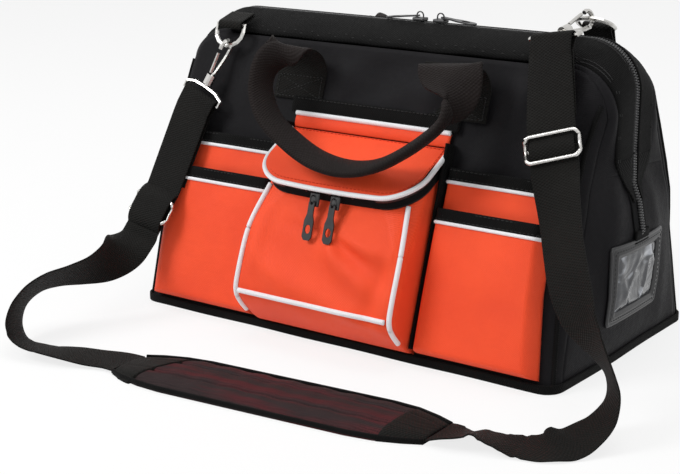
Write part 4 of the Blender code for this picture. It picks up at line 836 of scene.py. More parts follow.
    def shoulder(self, side: Side, turn: float) -> Array:
        """The cloth round a corner of the mouth, in front (turn -1) or behind (turn 1).

        Straight lines run from the wall's round top edge to the casing's hem, bowed out by
        bow * sin(pi t), at each angle from the top to the leg; then down the leg, where the bow fades.
        """
        form = self.form
        angle = np.concatenate([np.linspace(-0.12, np.pi / 2, 26), np.full(14, np.pi / 2)])
        drop = np.concatenate([np.zeros(26), np.linspace(0, self.shoulder_drop, 15)[1:]])
        half, r, edge = form.length / 2, form.mouth_radius, form.edge_radius
        share = np.cos(np.maximum(angle, 0))
        across, rise = r * np.sin(angle) - r, r * share - r - drop
        x, z = half + across, form.shoulder_height - form.casing - form.standoff + rise
        near = np.clip((x - (half - edge)) / edge, 0, 1)
        y = form.half_depth(z) - edge * (1 - np.sqrt(1 - near ** 2))
        reach = form.leg_width + (form.shoulder_depth / 2 - form.leg_width) * share - self.hem_in
        wall = form.settle(np.stack([side.value * x, turn * y, z - self.shoulder_tuck], axis=1))
        hem_x = half + form.standoff + self.hem_out + across
        hem_z = form.shoulder_height - form.casing + rise
        hem = form.settle(np.stack([side.value * hem_x, turn * reach, hem_z], axis=1))
        t = np.linspace(0, 1, 12)[None, :, None]
        fade = smoothstep(self.shoulder_drop, 0.006, drop)[:, None, None]
        outward = unit(np.stack([side.value * np.sin(angle), turn * 0.5 + 0 * angle, np.cos(angle)], axis=1))
        return wall[:, None] + (hem - wall)[:, None] * t + outward[:, None] * (
            self.shoulder_bow * np.sin(np.pi * t) * fade)

    def corner_path(self, side: Side, low: float, high: float, back: bool) -> Array:
        """The seam where a wall meets an end: the middle of the round edge, pushed out a little."""
        z = np.linspace(low, high, 60)
        r = self.form.edge_radius
        x = side.value * (self.form.length / 2 - r + r * math.cos(math.radians(40)))
        y = -self.form.half_depth(z) + r - r * math.sin(math.radians(40))
        points = np.stack([np.full_like(z, x), y, z], axis=1)
        return self.form.settle(mirrored(points) if back else points)

    def build_seams(self) -> None:
        """Corner seams: a turned and bound edge at each of the bag's four upright corners."""
        hinge = self.form.hinge_height
        top = float(self.form.wall_top(np.array(self.form.length / 2 - 0.002))) - 0.002
        for side in Side:
            for label, low, high, body in (("front_corner", self.foot, top, Body.BAG),
                                           ("back_corner", self.foot, hinge, Body.BAG),
                                           ("back_upper", hinge, top, MOUTH_FOLD)):
                path = self.corner_path(side, low, high, back=label != "front_corner")
                tube(f"{side.word}_{label}_seam", path, self.seam_radius, BINDING, body=body)

    def outline(self, grow: float) -> Array:
        """The base's outline, grown outwards, as a closed loop of even steps."""
        return round_rectangle(self.form.length / 2 + grow, self.form.depth / 2 + grow,
                               self.form.edge_radius + grow, 8, 320)

    def build_base(self) -> None:
        """The base cloth and the binding that closes its edge all round."""
        rings = self.outline(0.0)[None] * np.linspace(1.0, 0.0, 9)[:, None, None]
        under = np.concatenate([rings, np.full((*rings.shape[:2], 1), self.form.wall + 0.0002)], axis=2)
        cloth_grid("base_cloth", under, BLACK, (0, 0, -1), -self.form.wall, uv=rings, node="base_panel")
        loop = self.outline(self.binding_thickness / 2 + 0.0003)[:-1]
        path = np.column_stack([loop, np.full(len(loop), self.binding_height / 2)])
        path[:, 2] += 0.0002 * np.sin(arc_length(path) * 60)
        outline = soft_outline(self.binding_height - 0.0010, self.binding_thickness, 0.5, 20)
        swept("base_binding_band", self.form.settle(path), UP, outline, BINDING, closed=True,
              node="base_binding")


@dataclass
class Mouth:
    """The gate mouth: a webbing casing on each side, their zip chain and the zip's tails on the ends."""

    form: BagForm = FORM
    crown: float = 0.0016
    wave: float = 0.0006
    lip: float = 0.0016
    ridge_ease: float = 0.3
    zip_slot: float = 0.0048
    tape_width: float = 0.0125
    tape_thickness: float = 0.0008
    coil_width: float = 0.0036
    coil_height: float = 0.0022
    coil_offset: float = 0.0016
    tooth_pitch: float = 0.0021
    tail_foot: float = 0.100
    tail_out: float = 0.0012
    foot_length: float = 0.036
    foot_inner: float = 0.0052
    foot_taper: float = 0.86
    foot_out: float = 0.0030

    def arch(self, half: float, top: float, radius: float, low: float) -> Array:
        """The mouth's outline from the front: leg, round corner, top run, corner and leg, as (X, Z)."""
        turn = np.linspace(np.pi, np.pi / 2, 17)
        corner = np.stack([-half + radius + radius * np.cos(turn), top - radius + radius * np.sin(turn)], 1)
        leg = np.stack([np.full(7, -half), np.linspace(low, top - radius, 8)[:-1]], axis=1)
        span = half - radius
        run = np.stack([np.linspace(-span, span, 90)[1:-1], np.full(88, top)], axis=1)
        left = np.vstack([leg, corner])
        return np.vstack([left, run, left[::-1] * np.array([-1.0, 1.0])])

    def lines(self, inset: float) -> tuple[Array, Array]:
        """The ridge and shoulder lines, moved in from the casing's outer face."""
        form = self.form
        half = form.length / 2 + form.standoff + form.casing - inset
        wider = self.ridge_ease * (form.ridge_height - form.shoulder_height)
        ridge, shoulder = (self.arch(half, top - inset, form.mouth_radius + more - inset, form.hinge_height)
                           for top, more in ((form.ridge_height, wider), (form.shoulder_height, 0.0)))
        return ridge, shoulder

    @staticmethod
    def between(ridge: Array, shoulder: Array, t: Array) -> Array:
        """X and Z of places from the ridge (t = 0) to the shoulder line (t = 1)."""
        return np.moveaxis(ridge[:, None] + (shoulder - ridge)[:, None] * t[..., None], -1, 0)

    def casing_points(self) -> Array:
        """A casing's outer face: across from ridge to shoulder it bows up by the crown, and its lower
        edge rolls in; along the mouth it waves by half a millimetre."""
        ridge, shoulder = self.lines(0.0)
        form = self.form
        top_of_leg = form.shoulder_height - form.mouth_radius
        share = np.clip((shoulder[:, 1:] - top_of_leg) / form.mouth_radius, 0.0, 1.0)
        reach = form.leg_width + (form.shoulder_depth / 2 - form.leg_width) * share
        t = np.linspace(0, 1, 13)[None]
        y = self.zip_slot + (reach - self.zip_slot) * t
        x, z = self.between(ridge, shoulder, t)
        length = arc_length(ridge)[:, None]
        wave = self.wave * np.sin(length * 83) * np.sin(length * 31 + 1.0)
        lip = self.lip * np.clip((t - 0.82) / 0.18, 0, 1) ** 2
        z = z + share * (self.crown * np.sin(np.pi * t) + wave * t - lip)
        x = x - np.sign(x) * (1 - share) * lip * 0.6
        return np.stack([x, -y, z], axis=-1)

    def build(self) -> None:
        """Makes both casings with their seams, the two rows of teeth and the zip's tails."""
        for name, body, sign in (("front", Body.BAG, -1.0), ("back", Body.MOUTH, 1.0)):
            self.build_half(name, body, sign)
            self.build_chain(name, body, sign)
        for side in Side:
            self.build_tail(side)

    def build_half(self, name: str, body: Body, sign: float) -> None:
        """The casing of one side of the mouth, with its seams."""
        grid = self.casing_points() * np.array([1.0, -sign, 1.0])
        cloth_grid(name + "_mouth_casing", self.form.settle(grid), BINDING, (0, sign * 0.5, 1),
                   self.form.casing, body=body, node=name + "_casing")
        for column, label in ((1, "ridge"), (10, "hem"), (11, "edge")):
            line = self.form.settle(grid[:, column])
            x = line[:, :1]
            aside = np.sign(x) * smoothstep(0.175, 0.2, np.abs(x)) * 3
            outward = unit(np.array([0.0, sign * 0.35, 1.0]) + aside * np.array([[1.0, 0, 0]]))
            stitches(f"{name}_casing_{label}_stitches", line, outward, THREAD, 0.0032, 0.0024, body=body)

    def build_chain(self, name: str, body: Body, sign: float) -> None:
        """One half of the zip: its tape, and teeth a half step from those of the other half."""
        tape, shoulder = self.lines(self.form.casing + 0.0003)
        slant = (self.tape_width - self.zip_slot) / (self.form.shoulder_depth / 2 - self.zip_slot)
        t = np.linspace(0, 1, 5)[None]
        x, z = self.between(tape, shoulder, slant * t)
        y = np.broadcast_to(0.0003 + (self.tape_width - 0.0003) * t, x.shape) * sign
        cloth_grid(name + "_zip_tape", np.stack([x, y, z], axis=-1), TAPE, (0, 0, 1), self.tape_thickness,
                   body=body, node=name + "_zip_chain")
        line = np.stack([tape[:, 0], np.full(len(tape), sign * self.coil_offset), tape[:, 1]], axis=1)
        run = runs_of(line)
        outward = unit(np.stack([-run[:, 2], np.zeros(len(run)), run[:, 0]], axis=1))
        path = resampled(np.hstack([line, outward]), 600)
        length = arc_length(path[:, :3])
        shift = 0.5 if sign > 0 else 0.0
        stations = (np.arange(int(length[-1] / self.tooth_pitch)) + shift) * self.tooth_pitch
        sampled = np.stack([np.interp(stations, length, path[:, k]) for k in range(6)], axis=1)
        run, out = runs_of(sampled[:, :3]), unit(sampled[:, 3:])
        axes = np.stack([run, unit(np.cross(out, run)), out], axis=1)
        bricks(name + "_zip_teeth", tooth(self.coil_width, self.coil_height), axes, sampled[:, :3], COIL,
               body=body)

    def build_tail(self, side: Side) -> None:
        """The zip's fixed tail down an end, and the casings' tapered feet beside it."""
        form, low, out = self.form, self.tail_foot, (side.value, 0, 0)
        z = np.linspace(low, form.hinge_height + 0.004, 34)[:, None]
        tape = form.on_end(side, np.linspace(-0.0110, 0.0110, 13)[None], z, self.tail_out)
        cloth_grid(side.word + "_tail_tape", tape, TAPE, out, self.tape_thickness)
        count = int((form.hinge_height - low) / self.tooth_pitch)
        height = low + 0.004 + np.arange(count) * self.tooth_pitch
        axes = np.tile(np.array([UP, (0, 1, 0), out], float), (count, 1, 1))
        for sign, label in ((-1, "front"), (1, "back")):
            level = height + (sign + 1) * self.tooth_pitch / 4
            places = form.on_end(side, sign * 0.0015, level, self.tail_out)
            bricks(f"{side.word}_tail_teeth_{label}", tooth(self.coil_width, 0.0020), axes, places, COIL)
            t = np.linspace(0, 1, 16)[:, None]
            wide = (form.leg_width - self.foot_inner) * (1 - self.foot_taper * smoothstep(0.0, 1.0, t))
            y = sign * (self.foot_inner + wide * np.linspace(0, 1, 9)[None])
            z = form.hinge_height + 0.001 - self.foot_length * t
            cloth_grid(f"{side.word}_casing_foot_{label}", form.on_end(side, y, z, self.foot_out), BINDING,
                       out, 0.0018)
        stop = form.on_end(side, np.linspace(-0.012, 0.012, 9)[None],
                           np.linspace(low - 0.006, low + 0.007, 7)[:, None], self.foot_out)
        cloth_grid(side.word + "_tail_stop", stop, BINDING, out, 0.0016)


@dataclass(frozen=True)
class PocketSizes:
    """One tier of a side pocket, on the sloping front."""

    name: str
    low: float
    high: float
    foot: float
    top: float
    out: float


@dataclass
class SidePockets:
    """Two tiers of open patch pockets each side of the box pocket."""

    form: BagForm = FORM
    sheet: float = 0.0014
    side_turn: float = 0.011
    box_turn: float = 0.003
    band_height: float = 0.0100
    band_lift: float = 0.0009
    piping_radius: float = 0.0015
    inner_out: float = 0.0077
    outer_out: float = 0.0157
    tuck: float = 0.0017

    def tiers(self) -> list[PocketSizes]:
        """All four tiers, inner ones first."""
        rise = 1 / math.cos(self.form.slope)
        made = []
        for name, low, high in (("left", -0.190, -0.082), ("right", 0.082, 0.191)):
            tuck = self.tuck if low < 0 else 0.0
            made.append(PocketSizes(name + "_inner_pocket", low + tuck, high - self.tuck + tuck,
                                    0.0105 * rise, 0.150 * rise, self.inner_out))
            made.append(PocketSizes(name + "_outer_pocket", low, high, 0.0088 * rise, 0.119 * rise,
                                    self.outer_out))
        return made

    def standoff(self, tier: PocketSizes, x: Array, up: Array) -> Array:
        """How far a tier's cloth stands out: full in the middle, a quarter circle back to the wall at
        its sides and foot, and a little slack that gathers under the band."""
        inner, outer = (x - tier.low, tier.high - x) if tier.low > 0 else (tier.high - x, x - tier.low)
        edge = np.minimum(np.minimum(inner * self.side_turn / self.box_turn, outer), (up - tier.foot) * 2)
        k = np.sqrt(1 - (1 - np.clip(edge / self.side_turn, 0, 1)) ** 2)
        slack = 0.0011 * np.sin((x - tier.low) * 88 + tier.out * 400) * smoothstep(
            tier.top - 0.05, tier.top - 0.012, up) * smoothstep(tier.top, tier.top - 0.012, up)
        belly = 0.0014 * np.sin(np.pi * np.clip((up - tier.foot) / (tier.top - tier.foot), 0, 1))
        return 0.0009 + (tier.out - 0.0009) * k + (slack + belly) * k

    def surface(self, tier: PocketSizes, x: Array, up: Array, lift: float) -> Array:
        """Points on a tier's face, lifted off it."""
        points = self.form.on_front(x, up, self.standoff(tier, x, up) + lift)
        return self.form.settle(points)

    def build(self) -> None:
        """Makes each tier with its band, stitches and piping."""
        turn = self.side_turn * (1 - np.cos(np.linspace(0, np.pi / 2, 9)))
        for tier in self.tiers():
            x = np.concatenate([tier.low + turn, np.linspace(tier.low, tier.high, 44)[5:-5],
                                tier.high - turn[::-1]])
            up = np.concatenate([tier.foot + turn, np.linspace(tier.foot, tier.top - 0.002, 44)[6:]])
            cloth_grid(tier.name + "_cloth", self.surface(tier, x[None], up[:, None], 0.0), ORANGE,
                       self.form.out, self.sheet, node=tier.name)
            self.build_band(tier, x)

    def build_band(self, tier: PocketSizes, x: Array) -> None:
        """The black band folded over a tier's top edge, its two rows of stitches and the piping."""
        form, start = self.form, tier.top - self.band_height
        up = np.linspace(start, tier.top, 7)[:, None]
        roll = self.band_lift * (1 - 0.5 * np.clip((up - tier.top + 0.0015) / 0.0015, 0, 1) ** 2)
        out = self.standoff(tier, x[None], np.minimum(up, tier.top - 0.012)) + roll
        band = form.settle(form.on_front(x[None], up, out))
        cloth_grid(tier.name + "_band", band, BINDING, form.out, 0.0030)
        for rise, label in ((0.0016, "low"), (self.band_height - 0.0016, "high")):
            line = self.surface(tier, x, start + rise, self.band_lift)
            stitches(f"{tier.name}_{label}_stitches", line, form.out, THREAD)
        line = self.surface(tier, x, start - self.piping_radius * 0.8, 0.0007)
        tube(tier.name + "_piping", resampled(line, 90), self.piping_radius, PIPING)


@dataclass
class BoxPocket:
    """The box pocket: its cloth, zip band, hinged lid, piping and the bands beside and above it."""

    form: BagForm = FORM
    half: float = 0.076
    depth: float = 0.044
    bottom: float = 0.0085
    fold: float = 0.0300
    rim: float = 0.118
    hinge: float = 0.172
    lid_out: float = 0.004
    lid_front: tuple[float, float] = (0.126, 0.048)
    lid_corner: float = 0.030
    sheet: float = 0.0014
    piping_radius: float = 0.0021
    band_height: float = 0.0125
    fold_gain: float = 1.6
    strip_top: float = 0.1845
    back_band: tuple[float, float] = (0.1852, 0.1985)
    back_seams: tuple[float, float] = (0.1868, 0.1970)
    front_folds: tuple[Fold, ...] = (
        Fold(0.030, 0.074, -28, 0.034, 0.0080, 0.0030), Fold(0.045, 0.092, -10, 0.030, 0.0065, 0.0026),
        Fold(0.012, 0.088, -62, 0.018, 0.0050, 0.0022), Fold(0.030, 0.086, -24, 0.026, 0.0045, -0.0022),
        Fold(-0.040, 0.060, -35, 0.036, 0.0120, 0.0020), Fold(-0.020, 0.098, -8, 0.034, 0.0060, -0.0016),
        Fold(0.000, 0.052, -14, 0.050, 0.0090, 0.0018), Fold(0.058, 0.060, 80, 0.030, 0.0070, -0.0020),
        Fold(-0.060, 0.090, 86, 0.028, 0.0060, 0.0014), Fold(0.046, 0.036, -12, 0.030, 0.0055, 0.0020))

    @staticmethod
    def u_shape(half: float, depth: float, radius: float, start: float = 0.0) -> Array:
        """A U seen from above, as (X, out): side, round corner, front, corner, side. It has the same
        number of points whatever its sizes: 18 on a side, 12 on a corner and 60 on the front."""
        turn = np.linspace(np.pi, np.pi / 2, 13)
        side = np.stack([np.full(18, -half), np.linspace(start, depth - radius, 19)[:-1]], axis=1)
        corner = np.stack([-half + radius + radius * np.cos(turn),
                           depth - radius + radius * np.sin(turn)], axis=1)
        front = np.stack([np.linspace(-half + radius, half - radius, 62)[1:-1],
                          np.full(60, depth)], axis=1)
        left = np.vstack([side, corner])
        return np.vstack([left, front, left[::-1] * np.array([-1.0, 1.0])])

    def lid_line(self) -> tuple[float, Array, Array]:
        """The lid's side view: its length, its direction and its normal, as (up, out)."""
        way = np.array([self.lid_front[0] - self.hinge, self.lid_front[1] - self.lid_out])
        length = float(np.linalg.norm(way))
        way = way / length
        return length, way, np.array([way[1], -way[0]])

    def on_lid(self, x: Array, along: Array, lift: Array) -> Array:
        """Points over the lid: across, from its hinge, and above its top. Its crown is
        4 mm sin(pi s) (1 - (x/half)^2), and its front edge dips a little in the middle."""
        length, way, normal = self.lid_line()
        s = np.clip(along / length, 0, 1)
        flat = np.clip(1 - (x / self.half) ** 2, 0, 1)
        rise = lift + 0.0040 * np.sin(np.pi * s) * flat
        up = self.hinge + way[0] * along + normal[0] * rise - 0.0030 * s ** 3 * flat
        out = self.lid_out + way[1] * along + normal[1] * rise
        return self.form.on_front(x, up, out)

    def lid_curve(self, grow: float, inset: float, lift: float, start: float = 0.0) -> Array:
        """A line round the lid from hinge to hinge: moved in from its edge and lifted off its top."""
        length, _, _ = self.lid_line()
        shape = self.u_shape(self.half + grow - inset, length - inset, self.lid_corner - inset, start)
        return self.on_lid(shape[:, 0], shape[:, 1], lift)

    def rim_curve(self, inset: float, drop: float) -> Array:
        """The edge under the lid that the zip band follows."""
        return self.lid_curve(0.001, inset, -drop, 0.001)

    def section(self, up: float, out: float, radius: float) -> Array:
        """One level section of the pocket, in the front's own frame."""
        shape = self.u_shape(self.half, out, min(radius, out * 0.9), 0.0004)
        return self.form.on_front(shape[:, 0], up, shape[:, 1])

    def shell(self) -> Array:
        """The pocket's cloth from its bottom seam to the zip band, one section above another.

        The rows are blends of a few sections: the bottom seam, the fold, the waist and the band's edge.
        """
        low, depth = self.bottom, self.depth
        keys = [self.section(*key) for key in (
            (low, 0.0012, 0.001), (low - 0.0005, 0.008, 0.004), (low + 0.004, 0.020, 0.005),
            (0.0215, 0.036, 0.005), (self.fold, depth - 0.0005, 0.0045), (0.045, depth + 0.0010, 0.0045),
            (0.075, depth, 0.006), (0.094, depth - 0.001, 0.013))]
        stack = np.stack([*keys, self.rim_curve(0.0030, self.band_height + 0.0015)])
        rows = smooth_curve(stack.reshape(len(stack), -1), 7).reshape(-1, *stack.shape[1:])
        front = slice(30, -30)
        x, z = rows[:, front, 0], rows[:, front, 2]
        edge = smoothstep(self.half, self.half - 0.012, np.abs(x))
        rise = self.fold_gain * relief(self.front_folds, x, z) * edge
        rows[:, front] += self.form.out * rise[..., None]
        waist = np.sin(np.linspace(0, np.pi, len(rows)))[:, None]
        rows[:, :18, 0] -= 0.0015 * waist
        rows[:, -18:, 0] += 0.0012 * waist
        return rows

    def build(self) -> None:
        """Makes the pocket from the inside out."""
        rows = self.shell()
        cloth_grid("box_pocket_cloth", rows, ORANGE, self.form.out, self.sheet, node="box_pocket")
        self.build_piping(rows)
        self.build_band()
        self.build_lid()
        self.build_strips()

    def build_piping(self, rows: Array) -> None:
        """Piping up both front edges, and one across between them at the fold."""
        lift, level = self.piping_radius * 0.75, 28
        for side, column in ((Side.LEFT, 24), (Side.RIGHT, -25)):
            path = rows[16:-1, column] + unit(self.form.out + np.array([0.8 * side.value, 0, 0])) * lift
            tube(side.word + "_box_piping", resampled(path, 80), self.piping_radius, PIPING)
        line = rows[level, 29:-29] + self.form.out * lift
        tube("box_cross_piping", resampled(line, 90), self.piping_radius, PIPING)

    def build_band(self) -> None:
        """The zip band under the lid: black tape, a row of teeth along it and a fine hem."""
        drops = np.linspace(0.0008, self.band_height + 0.002, 9)
        grid = np.stack([self.rim_curve(0.0016 + 0.0012 * math.sin(math.pi * k / 8), drop)
                         for k, drop in enumerate(drops)])
        cloth_grid("box_zip_tape", grid, TAPE, self.form.out, 0.0012, node="box_zip_band")
        line = self.rim_curve(0.0014, 0.0042)
        up = unit(self.rim_curve(0.0014, 0.0) - self.rim_curve(0.0014, 0.004))
        outward = unit(np.cross(runs_of(line), up))
        if np.sum(outward @ self.form.out) < 0:
            outward = -outward
        places, axes = along_frames(line, outward, 0.0021)
        bricks("box_zip_teeth", tooth(0.0040, 0.0018), axes, places, COIL)
        hem = self.rim_curve(0.0012, self.band_height + 0.0006)
        stitches("box_band_stitches", hem, outward, THREAD)

    def lid_grid(self) -> Array:
        """The lid's top: rows from its hinge, each as wide as its round corners allow."""
        length, _, _ = self.lid_line()
        t = np.sin(np.linspace(0, np.pi / 2, 40))
        along = (length * t)[:, None]
        from_front = length - along
        r = self.lid_corner
        trim = np.where(from_front < r, r - np.sqrt(np.maximum(r ** 2 - (r - from_front) ** 2, 0)), 0.0)
        x = (self.half + 0.002 - trim) * np.linspace(-1, 1, 61)[None]
        slack = 0.0010 * np.sin(x * 70) * np.sin(np.pi * along / length) + 0.0012 * np.exp(
            -((x - 0.035) / 0.016) ** 2 - ((along - 0.036) / 0.010) ** 2)
        return self.on_lid(x, np.broadcast_to(along, x.shape), slack)

    def build_lid(self) -> None:
        """The lid: crowned cloth, a turned edge, piping all round and a row of stitches inside it."""
        up = np.array([0.0, -0.5, 1.0])
        cloth_grid("box_lid_cloth", self.lid_grid(), ORANGE, up, 0.0022, body=Body.LID, node="pocket_lid")
        path = self.lid_curve(0.002, 0.0, -0.0008)
        tube("box_lid_piping", resampled(path, 170), self.piping_radius, PIPING, body=Body.LID)
        seam = self.on_lid(np.linspace(-self.half, self.half, 60), 0.0016, 0.0001)
        for name, line in (("box_lid_stitches", self.lid_curve(0.002, 0.0042, 0.0001)),
                           ("box_lid_hinge_stitches", seam)):
            stitches(name, line, up, ORANGE_THREAD, body=Body.LID)

    def build_strips(self) -> None:
        """The cloth above the lid with its piping and band, and the bands down both sides."""
        form, half, hinge = self.form, self.half, self.hinge
        x = np.linspace(-half, half, 61)
        up = np.linspace(hinge + 0.0008, self.strip_top, 12)[:, None]
        strip = form.on_front(x[None], up, 0.0024 + 0.0014 * np.sin(np.pi * (up - hinge) / 0.0125))
        cloth_grid("lid_back_cloth", strip, ORANGE, form.out, 0.0018, node="lid_back_strip")
        tube("lid_back_piping", form.on_front(x, self.strip_top, 0.0032), self.piping_radius, PIPING)
        share = np.linspace(0, 1, 7)[:, None]
        low, high = self.back_band
        band = form.on_front(np.linspace(-half - 0.006, half + 0.006, 61)[None], low + (high - low) * share,
                             0.0028 + 0.0008 * np.sin(np.pi * share))
        cloth_grid("lid_back_band", band, BINDING, form.out, 0.0022)
        for rise, label in zip(self.back_seams, ("low", "high")):
            stitches(f"lid_back_band_{label}_stitches", form.on_front(x, rise, 0.0034), form.out, THREAD)
        beside = soft_outline(0.0125, 0.0030, 0.5, 18)
        for side in Side:
            path = form.on_front(side.value * (half + 0.0032), np.linspace(0.012, 0.176, 60), 0.0065)
            swept(side.word + "_box_side_band", path, form.out, beside, BINDING)


HANDLE_STATIONS = np.array([
    (-0.079, 0.0006, 0, 0, 1, 0, 0), (-0.0792, 0.0036, 0.0014, 0.08, 0.98, -0.05, -0.15),
    (-0.0805, 0.008, 0.001, 0.35, 0.84, -0.2, -0.48), (-0.0835, 0.0132, -0.0025, 0.7, 0.62, -0.48, -0.55),
    (-0.0868, 0.019, -0.0095, 0.92, 0.38, -0.78, -0.42), (-0.088, 0.0255, -0.02, 1, 0.14, -0.96, -0.12),
    (-0.0835, 0.033, -0.035, 1, 0.02, -0.99, 0.08), (-0.068, 0.0415, -0.053, 1, 0, -0.99, 0.15),
    (-0.045, 0.046, -0.0668, 1, 0, -0.98, 0.18), (-0.02, 0.0485, -0.0778, 1, 0, -0.98, 0.2),
    (0.004, 0.05, -0.082, 1, 0, -0.98, 0.2), (0.026, 0.0505, -0.0808, 1, 0, -0.98, 0.2),
    (0.048, 0.0495, -0.074, 1, 0, -0.98, 0.18), (0.068, 0.047, -0.0625, 1, -0.02, -0.98, 0.16),
    (0.084, 0.0425, -0.05, 1, -0.06, -0.97, 0.18), (0.093, 0.0372, -0.04, 0.92, -0.1, -0.97, 0.16),
    (0.0965, 0.0305, -0.03, 0.7, 0.2, -0.95, 0.16), (0.095, 0.0235, -0.0195, 0.35, 0.62, -0.72, 0.18),
    (0.0895, 0.0165, -0.0095, 0.08, 0.88, -0.42, 0.14), (0.083, 0.0085, -0.0015, 0, 0.97, -0.2, 0.06),
    (0.079, 0.0006, 0, 0, 1, 0, 0)])


@dataclass
class Handles:
    """Both carrying handles: sewn webbing ends that bend out, fold in half and close into a grip.

    A row of HANDLE_STATIONS is a place on the hanging webbing, from its left sewn end to its right
    one: across, out and up from the axis, the fold's share, and the direction of its width.
    """

    form: BagForm = FORM
    spread: float = 0.158
    web: float = 0.050
    thin: float = 0.0024
    grip: float = 0.0095
    axis_height: float = 0.2325
    axis_standoff: float = 0.0282
    back_lift: float = 26.0
    patch_height: float = 0.024
    patch_bend: float = 0.016

    def profile(self, share: float, samples: int = 25) -> Array:
        """The webbing's outline: flat at share 0, folded in half round its middle at share 1.

        The flat place of a thread is (s, 0); folded it is (|s| - web/4, b(s)), where b swells to half
        the grip's thickness; the outline is both faces, half the webbing's thickness away.
        """
        s = np.linspace(-self.web / 2, self.web / 2, samples)
        q = np.abs(s) / (self.web / 2)
        belly = (self.grip / 2 - self.thin / 2) * np.sin(np.pi * np.clip(q, 0.0, 1.0)) ** 0.55
        belly = np.maximum(belly, self.thin * 0.52 * np.minimum(q * 6, 1.0))
        flat = np.stack([s, 0 * s], axis=1)
        folded = np.stack([np.abs(s) - self.web / 4, np.sign(s) * belly], axis=1)
        middle = flat + (folded - flat) * share
        way = unit(np.gradient(middle, axis=0))
        normal = np.stack([-way[:, 1], way[:, 0]], axis=1)
        return np.vstack([middle + normal * self.thin / 2, (middle - normal * self.thin / 2)[::-1]])

    def handle_points(self, lift: float) -> tuple[Array, Array, Array]:
        """The front handle's path, its across directions and its outlines, about its own axis."""
        rows = smooth_curve(HANDLE_STATIONS, 6)
        outlines = np.stack([self.profile(float(np.clip(share, 0, 1))) for share in rows[:, 3]])
        angle = math.radians(-lift)
        spin = np.array([[1, 0, 0], [0, math.cos(angle), -math.sin(angle)],
                         [0, math.sin(angle), math.cos(angle)]])
        return mirrored(rows[:, :3]) @ spin.T, mirrored(rows[:, 4:]) @ spin.T, outlines

    def build(self) -> None:
        """Makes both handles and their sewn ends."""
        axis = np.array([0.0, -self.form.half_depth(self.axis_height) - self.axis_standoff,
                         self.axis_height])
        path, across, outlines = self.handle_points(0.0)
        front = swept("front_handle_webbing", path + axis, across, outlines, GRIP_WEBBING,
                      body=Body.FRONT_HANDLE, node="front_handle")
        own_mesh(front)
        path, across, outlines = self.handle_points(self.back_lift)
        swept("back_handle_webbing", mirrored(path + axis), mirrored(across),
              outlines * np.array([1.0, -1.0]), GRIP_WEBBING, body=Body.BACK_HANDLE, node="back_handle")
        self.build_patches()

    def patch_path(self) -> Array:
        """A sewn end's side view as (up, out): flat on the wall, then curving out to the axis."""
        slope = self.form.slope
        lean = self.form.depth / 2 - self.form.half_depth(self.axis_height) - self.axis_standoff
        top = lean * math.sin(slope) + self.axis_height * math.cos(slope)
        out = -lean * math.cos(slope) + self.axis_height * math.sin(slope)
        bend, flat = self.patch_bend, 0.0013
        rows = np.array([(top - bend - self.patch_height, flat), (top - bend - 0.012, flat),
                         (top - bend, flat), (top - bend * 0.58, out * 0.16),
                         (top - bend * 0.22, out * 0.42), (top - bend * 0.05, out * 0.70),
                         (top, out * 0.93)])
        return smooth_curve(rows, 6)

    def build_patches(self) -> None:
        """The four sewn ends, each with a box of stitches crossed corner to corner."""
        side_view = self.patch_path()
        web = soft_outline(self.web, 0.0021)
        for side in Side:
            centre = side.value * self.spread / 2
            path = self.form.on_front(centre, side_view[:, 0], side_view[:, 1])
            box = self.stitch_box(centre, side_view[0, 0])
            for label, turn, body in (("front", 1.0, Body.BAG), ("back", -1.0, MOUTH_FOLD)):
                name, flip = f"{label}_{side.word}_handle", np.array([1.0, turn, 1.0])
                swept(name + "_end", path * flip, np.array([1.0, 0.0, 0.0]), web, WEBBING, body=body,
                      node=name + "_patch")
                stitches(name + "_stitches", box * flip, self.form.out * flip, THREAD, 0.0034, 0.0026,
                         body=body)

    def stitch_box(self, centre: float, low: float) -> Array:
        """A path round a sewn end and across both its diagonals, on the webbing's face."""
        w, h, m = self.web / 2 - 0.003, self.patch_height - 0.004, 0.002
        corners = [(-w, m), (w, m), (w, h), (-w, h), (-w, m), (w, h), (w, m), (-w, h)]
        rows = []
        for (ax, au), (bx, bu) in zip(corners, corners[1:]):
            t = np.linspace(0, 1, 20)[:-1]
            rows.append(np.stack([ax + (bx - ax) * t, au + (bu - au) * t], axis=1))
        flat = np.vstack(rows)
        return self.form.on_front(centre + flat[:, 0], low + flat[:, 1], np.full(len(flat), 0.0024))


